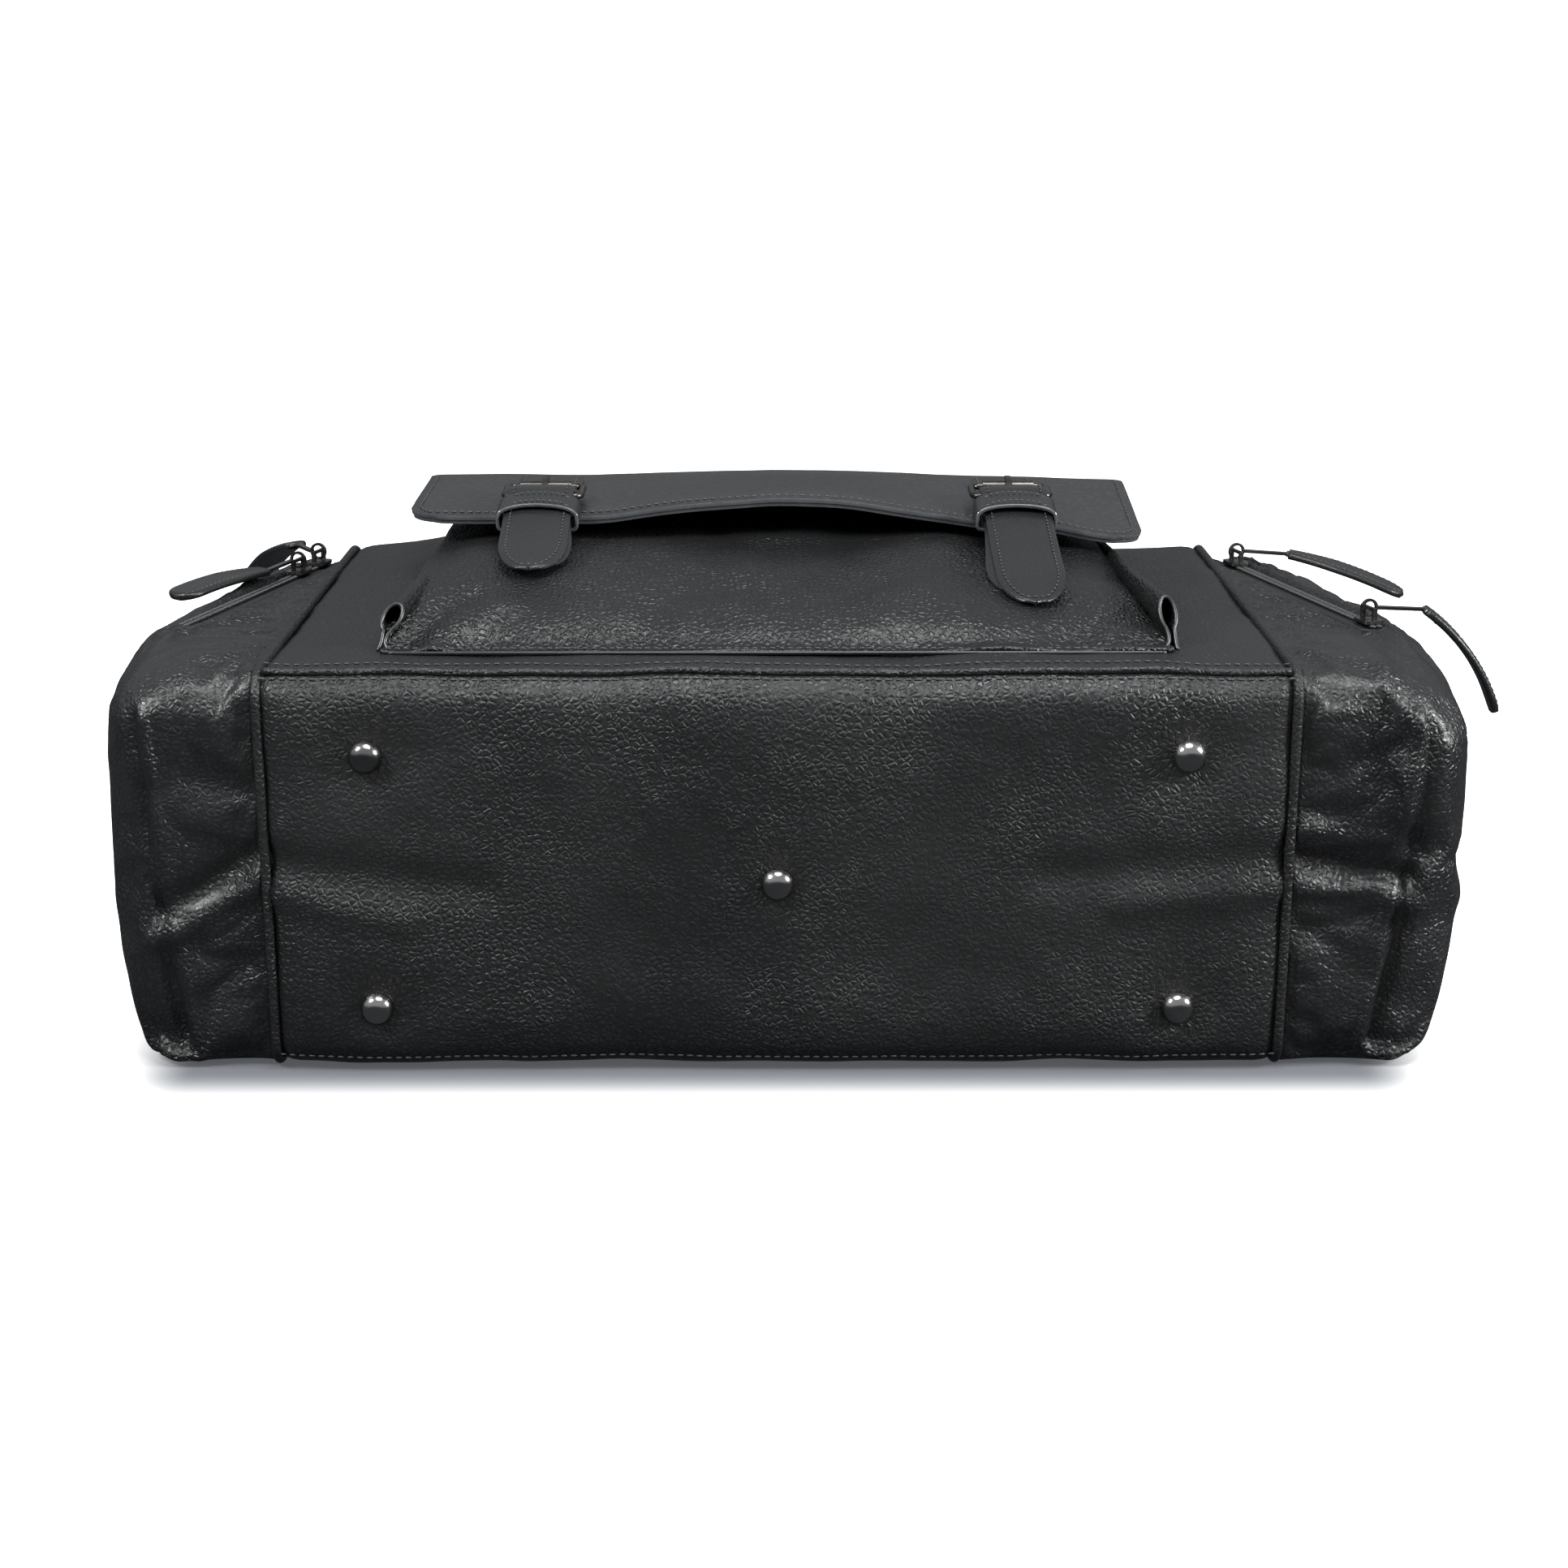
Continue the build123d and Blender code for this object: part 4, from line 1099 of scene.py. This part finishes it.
def pocket_sag(x):
    """The pocket's right side hangs lower than its left."""
    return -6.0 * np.clip((x - 60) / 90, 0, 1) ** 1.5


def pocket_face():
    profile = smooth_line(face_profile, 90)
    rows = []
    for x in np.linspace(-face_half, face_half, 150):
        near_edge = np.clip((abs(x) - (face_half - 26)) / 26, 0, 1)
        rise = np.clip((profile[:, 0] - pocket_foot) / 30, 0, 1)
        fall = (pocket_sag(x) - 5.0 * near_edge**2) * rise
        narrow = 1 - 0.075 * np.clip((profile[:, 0] - pocket_foot) / 160, 0, 1)
        rows.append(np.column_stack([x * narrow, profile[:, 0], profile[:, 1] + fall]))
    made = skin("front_pocket_face", rows, pocket_leather, pocket_creases, 1.7, thick=1.8)
    return register(made, "root", "pocket_leather", "front_pocket", fill=0.6)


pocket_face()


# %% Folded sides of the pocket
def side_fold(side, sign, tall, wide, tilt):
    """A gusset folded to a keyhole outline: a loop on top of two layers that meet at the seam."""
    angles = np.linspace(-0.35 * math.pi, 1.35 * math.pi, 22)
    loop = [(wide * math.cos(a) * sign, tall * 0.70 + tall * 0.30 * math.sin(a)) for a in angles]
    inner = [(0.9 * sign, tall * 0.18), (1.2 * sign, tall * 0.02)]
    outer = [(-0.5 * sign, tall * 0.2), (-3.5 * sign, 0.2)]
    section = smooth_line([*inner[::-1], *loop, *outer], 60)
    rows = []
    for t in np.linspace(0, 1, 60):
        y = pocket_foot + 1.5 + t * 150
        x = sign * (face_half + 1.0 - 12.5 * t)
        foot = front_z(y) + 0.4
        swell = 1 + 0.25 * t
        sink = (5.0 if sign > 0 else 0.0) * t
        lean_back = section[:, 1] * 0.75 * max(0.0, 1 - t / 0.4)
        up = foot + section[:, 1] * swell - sink * section[:, 1] / tall
        rows.append(np.column_stack([x + section[:, 0] + tilt * section[:, 1] / tall, y + lean_back, up]))
    made = skin(f"{side}_pocket_fold", rows, pocket_leather, (), 0.5, thick=0.0)
    made.data.materials.append(dark_edge)
    shell = made.modifiers.new("thickness", "SOLIDIFY")
    shell.thickness, shell.offset, shell.material_offset_rim = 1.3 * mm, 0.0, 1
    settle_modifiers(made)
    return register(made, "root", "pocket_leather", fill=0.5)


side_fold("left", -1, 17.0, 4.2, 6.0)
side_fold("right", 1, 19.0, 3.0, -2.5)

# %% Pocket hem stitches
hem_pitch = 3.6
hem_x = np.linspace(-face_half + 3, face_half - 3, 160)
hem = np.column_stack([hem_x, hem_x * 0 + pocket_foot - 0.5, hem_x * 0 + front_z(pocket_foot) + 2.3])
hem_edge = np.column_stack([hem_x, hem_x * 0 + pocket_foot - 3.2, hem_x * 0 + front_z(pocket_foot) + 1.0])
hem_row = ([hem], hem_pitch, (2.8, 0.9, 0.8), (0, -0.4, 0.9))
row_piece("pocket_hem_stitches", [hem_row], "root", "pocket_leather", thread)
register(tube("pocket_hem_edge", hem_edge, 0.8, dark_edge), "root", "pocket_leather")

# %% [markdown]
# ## Flap
#
# The flap is two hides sewn back to back, so its edge shows a double line. It arches
# over the middle of the pocket and drops at its right end. Both layers are grids with a rounded
# outline; each has a rolled, painted edge, and a row of thread follows the outline.

# %% Flap layers
flap_half = highest("pocket_flap")[0]
flap_front = lowest("pocket_flap")[1]
flap_fold = highest("pocket_flap")[1]
flap_top = highest("pocket_flap")[2]
flap_corner_r = 17.0
arch_x = [-164, -121, -78, -45, 0, 30, 60, 90, 122, 140, 168]
arch_z = [1.5, 0.8, 1.0, 6.0, 9.0, 8.0, 3.0, -1.5, -2.5, -7.5, -9.5]


def arch(x, y):
    """How far the flap stands above its drawn height."""
    forward = np.clip((flap_fold - 8 - y) / 70, 0, 1)
    lift = np.zeros_like(np.asarray(x, float))
    for shift in (-9, -4.5, 0, 4.5, 9):
        lift = lift + np.interp(np.asarray(x) + shift, arch_x, arch_z) / 5
    return lift * (0.25 + 0.75 * forward)


def flap_row_x(v, inset):
    """Half width of the flap at a distance v behind its front edge."""
    short = flap_corner_r - math.sqrt(max(0.0, flap_corner_r**2 - max(0.0, flap_corner_r - v) ** 2))
    return flap_half - inset - short


def flap_layer(name, top, thick, inset, finish, edge):
    rows = []
    depth = flap_fold - flap_front
    spread = np.concatenate([np.linspace(0, 1, 16) ** 1.6 * 17, np.linspace(19.5, depth - inset, 26)])
    for u in np.linspace(-1, 1, 150):
        row = []
        for v in spread:
            x = u * flap_row_x(v, inset)
            y = flap_front + inset + v
            rim = np.exp(-((min(v, (1 - abs(u)) * flap_half) / 2.2) ** 2))
            row.append((x, y, top + float(arch(x, y)) - 0.7 * rim))
        rows.append(row)
    made = skin(name, rows, finish, (), 0.35, thick=0.0)
    made.data.materials.append(edge)
    shell = made.modifiers.new("thickness", "SOLIDIFY")
    shell.thickness, shell.offset, shell.material_offset_rim = thick * mm, -1.0, 1
    rolled = made.modifiers.new("rolled edge", "BEVEL")
    rolled.width, rolled.segments, rolled.limit_method = 0.5 * mm, 2, "ANGLE"
    settle_modifiers(made)
    return made


upper = flap_layer("flap_upper_leather", flap_top, 1.9, 0.0, flap_leather, edge_paint)
register(upper, "flap", "flap_leather", "pocket_flap", fill=0.3)
under = flap_layer("flap_under_leather", flap_top - 2.1, 1.6, 0.7, flap_leather, edge_paint)
register(under, "flap", "flap_leather", fill=0.3)


def flap_outline(inset):
    """A line round the flap's front and sides, inset from its edge, on its upper face."""
    line = []
    for v in np.linspace(flap_fold - flap_front - 6, inset, 60):
        line.append((-(flap_row_x(v, inset)), flap_front + v))
    for x in np.linspace(-flap_half + flap_corner_r, flap_half - flap_corner_r, 120):
        line.append((x, flap_front + inset))
    for v in np.linspace(inset, flap_fold - flap_front - 6, 60):
        line.append((flap_row_x(v, inset), flap_front + v))
    line = even(line, 400)
    z = flap_top + arch(line[:, 0], line[:, 1]) + 0.2
    return np.column_stack([line, z])


row_piece(
    "flap_stitches", [([flap_outline(4.2)], 3.6, (2.7, 0.8, 0.8), (0, 0, 1))], "flap", "flap_leather", thread
)

# %% [markdown]
# ## Straps, under-straps and keepers
#
# Each buckle strap is sewn on the flap, rises over the buckle, passes under the keeper and ends
# in a round tip that hangs on the pocket. Below it a second layer holds the buckle. Straps keep
# their width and bend only along their length, so they are swept: a smooth line in profile, a
# flat section with soft edges, and a half-round tip.

# %% Strap maker
strap_x = (highest("right_roller")[0] + lowest("right_roller")[0]) / 2
strap_half = 14.5


def shifted(line):
    """Strap points are given by their distance from the base."""
    return [(base_y + run, high) for run, high in line]


tip_run = 26.0


def tip_share(left):
    """Share of the full width at a distance left to the tip."""
    short = (tip_run - np.minimum(left, tip_run)) / tip_run
    return np.maximum(np.sqrt(np.clip(1 - short**2.2, 0.0, 1)), 0.02)


def strap(name, x_centre, line, half_width, thick, finish, skew=0.0):
    """A strap layer along a profile line that ends in a round tip, with painted edges."""
    profile = smooth_line(shifted(line), 110)
    run = np.concatenate([[0], np.cumsum(np.linalg.norm(np.diff(profile, axis=0), axis=1))])
    left = run[-1] - run
    ahead = np.gradient(profile, axis=0)
    ahead /= np.linalg.norm(ahead, axis=1)[:, None]
    up = np.column_stack([ahead[:, 1], -ahead[:, 0]])
    rows = []
    for u in np.linspace(-1, 1, 25):
        wide = half_width * tip_share(left)
        x = x_centre + u * wide + skew * (run / run[-1]) ** 2
        crown_up = 0.9 * (1 - u**4)
        rows.append(
            np.column_stack([x, profile[:, 0] + up[:, 0] * crown_up, profile[:, 1] + up[:, 1] * crown_up])
        )
    made = skin(name, rows, finish, (), 0.3, thick=0.0, flip=True)
    made.data.materials.append(edge_paint)
    shell = made.modifiers.new("thickness", "SOLIDIFY")
    shell.thickness, shell.offset, shell.material_offset_rim = thick * mm, -0.2, 1
    rolled = made.modifiers.new("rolled edge", "BEVEL")
    rolled.width, rolled.segments, rolled.limit_method = 0.45 * mm, 2, "ANGLE"
    settle_modifiers(made)
    return made, profile, run, up


def strap_edge_lines(x_centre, profile, run, up, half_width, inset, skew, lift):
    """A line round the strap's edges and tip for its thread."""
    left = run[-1] - run
    keep = left > inset * 0.8
    wide = np.maximum(half_width * tip_share(left) - inset, 0.0)
    middle = x_centre + skew * (run / run[-1]) ** 2
    height = np.column_stack([profile[:, 0] + up[:, 0] * lift, profile[:, 1] + up[:, 1] * lift])
    one = np.column_stack([middle - wide, height])[keep]
    two = np.column_stack([middle + wide, height])[keep]
    return even(np.vstack([one, two[::-1]]), 300)


billet_lines = {
    "left": [
        (222, 201.9), (195, 202.0), (183, 202.0), (172, 207.6), (163, 210.4),
        (154, 207.0), (142, 204.4), (120, 198.0), (100, 193.6), (87, 191.0),
    ],
    "right": [
        (222, 200.8), (195, 201.0), (183, 201.5), (172, 207.4), (163, 210.2),
        (154, 206.6), (142, 203.6), (112, 195.0), (84, 187.5), (66, 181.5),
    ],
}
chape_lines = {
    "left": [(163, 203.4), (155, 203.8), (144, 202.0), (120, 194.8), (98, 190.0)],
    "right": [(163, 203.2), (155, 203.6), (144, 201.0), (112, 191.5), (78, 183.5)],
}
skews = {"left": (0.0, 5.5), "right": (3.0, -4.0)}
strap_threads = []
for side, sign in (("left", -1), ("right", 1)):
    x_centre = sign * strap_x
    main_skew, under_skew = skews[side]
    made, profile, run, up = strap(
        f"{side}_strap", x_centre, billet_lines[side], strap_half, 2.2, strap_leather, main_skew
    )
    register(made, "flap", "strap_leather", "strap_billets", fill=0.3)
    line = strap_edge_lines(x_centre, profile, run, up, strap_half, 2.8, main_skew, 1.75)
    strap_threads.append(([line], 3.0, (2.2, 0.7, 0.7), (0, -0.3, 0.95)))
    made, *_ = strap(f"{side}_under_strap", x_centre, chape_lines[side], 13.6, 2.0, strap_leather, under_skew)
    register(made, "flap", "strap_leather", "strap_chapes", fill=0.3)
row_piece("strap_stitches", strap_threads, "flap", "strap_leather", thread)


# %% Keepers
def keeper(side, sign):
    """A stitched loop of leather that holds the strap down in front of the buckle."""
    x_centre = sign * strap_x
    high, low = highest("strap_keepers"), lowest("strap_keepers")
    half_x, half_z = strap_half + 2.0, (high[2] - low[2]) / 2 - 1.6
    middle_z = (high[2] + low[2]) / 2 - 1.2
    angles = np.linspace(0, 2 * math.pi, 72, endpoint=False)
    power = 0.42
    section = np.column_stack(
        [
            half_x * np.sign(np.cos(angles)) * np.abs(np.cos(angles)) ** power,
            half_z * np.sign(np.sin(angles)) * np.abs(np.sin(angles)) ** power,
        ]
    )
    rows = []
    for t in np.linspace(-1, 1, 12):
        y = base_y + 148.5 + 6.5 * t
        sag = 1.6 * (section[:, 0] / half_x) ** 2 + 2.4 * (1 - t) / 2
        across = section[:, 0]
        rows.append(np.column_stack([x_centre + across, y - 1.5 * sag, middle_z + section[:, 1] - sag]))
    made = skin(f"{side}_keeper", rows, strap_leather, (), 0.3, thick=0.0, wrap=True)
    made.data.materials.append(edge_paint)
    shell = made.modifiers.new("thickness", "SOLIDIFY")
    shell.thickness, shell.offset, shell.material_offset_rim = 1.5 * mm, 1.0, 1
    settle_modifiers(made)
    outside_out(made)
    register(made, "flap", "strap_leather", "strap_keepers", fill=0.3)
    lines = []
    for t in (-0.62, 0.62):
        across = np.linspace(-1, 1, 40)
        sag = 1.6 * across**2 + 2.4 * (1 - t) / 2
        y = base_y + 148.5 + 6.5 * t - 1.5 * sag
        z = middle_z + half_z * (1 - np.abs(across) ** 5) ** 0.5 - sag + 2.1
        lines.append(np.column_stack([x_centre + across * (half_x - 1), y, z]))
    return lines, 2.6, (1.9, 0.7, 0.6), (0, -0.4, 0.9)


row_piece("keeper_stitches", [keeper("left", -1), keeper("right", 1)], "flap", "strap_leather", thread)

# %% [markdown]
# ## Small leather pieces that keep their drawn shape
#
# The handle tabs and the ring tabs are short thick strips. Their
# shape is right already, only too crisp. A copy of each is rebuilt from small voxels and
# smoothed, which rounds every edge the way skived leather rounds.


# %% Softened copies
def softened(name, node, voxel, finish, passes=6):
    """A copy of a node with its edges rounded."""
    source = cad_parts[node]
    mesh = source.data.copy()
    work = bmesh.new()
    work.from_mesh(mesh)
    bmesh.ops.remove_doubles(work, verts=work.verts, dist=0.01 * mm)
    work.to_mesh(mesh)
    work.free()
    made = bpy.data.objects.new(name, mesh)
    scene.collection.objects.link(made)
    voxels = made.modifiers.new("voxels", "REMESH")
    voxels.mode, voxels.voxel_size = "VOXEL", voxel * mm
    relax = made.modifiers.new("relax", "SMOOTH")
    relax.factor, relax.iterations = 0.6, passes
    settle_modifiers(made)
    made.data.materials.clear()
    made.data.materials.append(finish)
    made.data.shade_smooth()
    return made


for node, body, slot, voxel in (
    ("front_handle_tabs", "root", "handle_leather", 0.8),
    ("back_handle_tabs", "root", "handle_leather", 0.8),
    ("strap_ring_tabs", "root", "strap_leather", 0.7),
):
    register(softened(f"soft_{node}", node, voxel, strap_leather), body, slot, node)

# %% Band behind the pocket
def flap_band():
    """The strip that closes the pocket at the back and carries the flap."""
    low, high = lowest("flap_band"), highest("flap_band")
    half_x = 140.0
    rows = []
    for x in np.linspace(-half_x, half_x, 90):
        lift = float(arch(np.array(x), np.array(low[1])))
        foot = front_z(low[1]) + 2.0
        profile = [
            (low[1] + 14, foot - 1.5),
            (low[1] + 5, foot),
            (low[1] + 1.5, foot + 5),
            (low[1] + 1.4, high[2] + lift),
        ]
        rows.append([(x, y, z) for y, z in smooth_line(profile, 24)])
    made = skin("flap_carrier", rows, flap_leather, (), 0.6, thick=1.6, flip=True)
    return register(made, "root", "flap_leather", "flap_band", fill=0.3)


flap_band()

# %% [markdown]
# ## Pull tabs
#
# A leather tab hangs on each zip pull: narrow at the link, wide at its end, two layers sewn
# round a soft core. Its own axes come from the drawn tab: the longest direction is its length
# and the shortest its thickness. Around them a padded leaf is laid out and bent.


# %% Pull tabs
def axes_of(node, link):
    """Start, length direction, width direction and thickness direction of a tab, and its length."""
    points = np.array([v.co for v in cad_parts[node].data.vertices]) / mm
    middle = points.mean(axis=0)
    _, _, rows = np.linalg.svd(points - middle, full_matrices=False)
    along, across = rows[0], rows[1]
    link_middle = np.array([v.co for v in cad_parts[link].data.vertices]).mean(axis=0) / mm
    if (middle - link_middle) @ along < 0:
        along = -along
    reach = (points - middle) @ along
    upward = np.cross(along, across)
    if upward[2] < 0:
        across, upward = -across, -upward
    centre_across = (points - middle) @ across
    centre_up = (points - middle) @ upward
    start = middle + along * reach.min()
    start = start + across * (centre_across.max() + centre_across.min()) / 2
    start = start + upward * (centre_up.max() + centre_up.min()) / 2
    return start, along, across, upward, reach.max() - reach.min()


def pull_tab(name, body, node, link, bend):
    """A padded leather leaf that curls by bend degrees along its length."""
    start, along, across, upward, length = axes_of(node, link)
    steps = 46
    heading = math.radians(bend) * np.linspace(-0.35, 0.65, steps)
    run = length / (steps - 1)
    spine = [start]
    for turn in heading[:-1]:
        spine.append(spine[-1] + run * (along * math.cos(turn) - upward * math.sin(turn)))
    spine = np.array(spine)
    t = np.linspace(0, length, steps)
    widest = 9.0
    wide = np.interp(t, [0, 4, length * 0.4, length - widest, length], [5.2, 6.0, widest, widest, widest])
    end = np.clip(1 - (np.clip(t - (length - widest), 0, widest) / widest) ** 2, 0.0, 1)
    wide = wide * np.sqrt(np.maximum(end, 0.004))
    round_section = np.linspace(0, 2 * math.pi, 28, endpoint=False)
    rows, seam = [], []
    for i in range(steps):
        up = upward * math.cos(heading[i]) + along * math.sin(heading[i])
        c, s = np.cos(round_section), np.sin(round_section)
        flat = np.sign(c) * np.abs(c) ** 0.75
        full = 1.9 * np.sign(s) * np.abs(s) ** 0.55 * min(1.0, wide[i] / 4)
        rows.append(spine[i] + flat[:, None] * wide[i] * across + full[:, None] * up)
        inner = max(wide[i] - 2.8, 0.0)
        seam.append((spine[i] - across * inner + up * 1.6, spine[i] + across * inner + up * 1.6))
    points = np.array(rows).reshape(-1, 3)
    faces = grid_faces(steps, 28, wrap=True)
    faces += [tuple(range(28))[::-1], tuple(range(len(points) - 28, len(points)))]
    made = mesh_object(name, points, faces, strap_leather)
    outside_out(made)
    register(made, body, "pull_leather", node, fill=0.8)
    line = np.array([a for a, _ in seam[3:-2]] + [b for _, b in seam[3:-2]][::-1])
    return [even(line, 160)], 2.8, (2.0, 0.7, 0.7), tuple(upward)


tab_bends = {
    "right_near": 38.0,
    "right_far": 16.0,
    "left_near": 14.0,
    "left_far": 30.0,
}
for place, bend in tab_bends.items():
    run = pull_tab(f"{place}_tab", f"{place}_pull", f"{place}_pull_tab", f"{place}_pull_link", bend)
    row_piece(f"{place}_tab_stitches", [run], f"{place}_pull", "pull_leather", thread)
run = pull_tab("main_tab", "main_pull", "main_pull_tab", "main_pull_link", 8.0)
row_piece("main_tab_stitches", [run], "main_pull", "pull_leather", thread)


# %% [markdown]
# ## Handles
#
# Two rolled leather handles hang from rings at the top. A rolled handle is a strap folded
# round a cord and sewn underneath, so its section is an egg with a seam. It is swept along one
# smooth line that loops round each ring.


# %% Handles
def handle(name):
    """One handle in the plane of its rings."""
    node = f"{name}_handle"
    rings_low, rings_high = lowest(f"{name}_handle_rings"), highest(f"{name}_handle_rings")
    low, high = lowest(node), highest(node)
    pivot = np.array([0, rings_low[1] + 1.9, rings_high[2] - 1.9])
    reach_y = high[1] - 4 - pivot[1]
    drop_z = pivot[2] - low[2] - (4 if name == "front" else 4.5)
    away = np.array([0, reach_y, -drop_z])
    reach = np.linalg.norm(away)
    away /= reach
    half_x = 85.0
    left_half = [(-half_x, 22), (-half_x, 34), (-half_x, 52), (-half_x * 0.86, 88), (-56, 124), (-30, 132)]
    shape = left_half + [(-x, d) for x, d in left_half[::-1]]
    flat = smooth_line(shape, 170)
    scale = reach / 132
    path = np.array([pivot + np.array([x, 0, 0]) + away * d * scale for x, d in flat])
    ends = np.minimum(np.arange(170), np.arange(170)[::-1]) / 169
    radius = 5.6 + 1.6 * np.clip((0.10 - ends) / 0.08, 0, 1)
    up = np.cross((1, 0, 0), away)
    made = tube(f"{name}_grip", path, radius, grip_leather, flat=0.72, sides=26, up=tuple(up))
    for sign in (-1, 1):
        eye = pivot + np.array([sign * half_x, 0, 0]) + away * 20
        angles = np.linspace(0, 2 * math.pi, 30, endpoint=False)
        around = eye + 3.9 * (np.cos(angles)[:, None] * away + np.sin(angles)[:, None] * up)
        loops = tube("loop", around, 1.5, grip_leather, closed=True, flat=4.6, sides=16, up=(1, 0, 0))
        merge(made, loops)
    register(made, node, "handle_leather", node, fill=0.9)
    thread_line = path[8:-8] + up * 3.9
    row = ([thread_line], hem_pitch, (2.6, 0.8, 0.8), tuple(up))
    return row_piece(f"{name}_grip_stitches", [row], node, "handle_leather", thread)


def merge(target, extra):
    """Adds one mesh to another."""
    work = bmesh.new()
    work.from_mesh(target.data)
    work.from_mesh(extra.data)
    work.to_mesh(target.data)
    work.free()
    bpy.data.objects.remove(extra)


handle("front")
handle("back")

# %% [markdown]
# ## Zips
#
# A coil zip is a row of small ribs on two woven tapes. The tapes are narrow strips and the ribs
# are beads set across the chain by the same tree as the stitches.


# %% Zips
rib_pitch, rib_size = 1.5, (0.9, 2.9, 1.7)
tape_edges = (0.9, 7.5)


def chain(name, start, end, out, body, hands, nodes, sink):
    """Tapes and ribs along a straight chain, sink below the leather's face."""
    start, end, out = (np.array(v, float) for v in (start, end, out))
    along = (end - start) / np.linalg.norm(end - start)
    across = np.cross(out, along)
    for hand in hands:
        edge = [start - out * sink + across * hand * w for w in tape_edges]
        rows = [[p - out * 0.6, p - out * 0.6 + (end - start)] for p in edge]
        rows = [even(row, 60) for row in rows]
        if hand > 0:
            rows = rows[::-1]
        label = f"{name}_tape_{'ab'[hand > 0]}"
        tape = skin(label, rows, zip_tape, (), 0.0, thick=0.7)
        register(tape, body, "zip_coil", *nodes)
        rib_line = np.array([start, end]) - out * (sink - 0.4) + across * hand * 1.5
        row = ([rib_line], rib_pitch, rib_size, tuple(out))
        row_piece(f"{name}_ribs_{'ab'[hand > 0]}", [row], body, "zip_coil", zip_coil)


mouth_z = (mouth_low + mouth_high) / 2
main_sink, end_sink = 2.6, 2.3
top_out = (0, 1, 0)
for hand, part in ((-1, "front"), (1, "back")):
    start, end = (-hinged_half, top_y, mouth_z), (hinged_half, top_y, mouth_z)
    body = f"top_{part}"
    chain(f"main_zip_{body}", start, end, top_out, body, (hand,), (f"main_zip_{part}_half",), main_sink)
park = 28.5
for label, x in (("left", -hinged_half - park), ("right", hinged_half + 0.5)):
    start, end = (x, top_y, mouth_z), (x + park, top_y, mouth_z)
    chain(f"{label}_zip_end", start, end, top_out, "root", (-1, 1), ("main_zip_ends",), main_sink)
slant_out = Vector((0, front_slope, 1)).normalized()
far = zip_foot + zip_dir * zip_run
for side, sign in (("left", -1), ("right", 1)):
    start = (sign * zip_foot[0], zip_foot[1], front_z(zip_foot[1]) - 1.5)
    end = (sign * far[0], far[1], front_z(far[1]) - 1.5)
    chain(f"{side}_end_zip_row", start, end, slant_out, "root", (-1, 1), (f"{side}_end_zip",), end_sink)
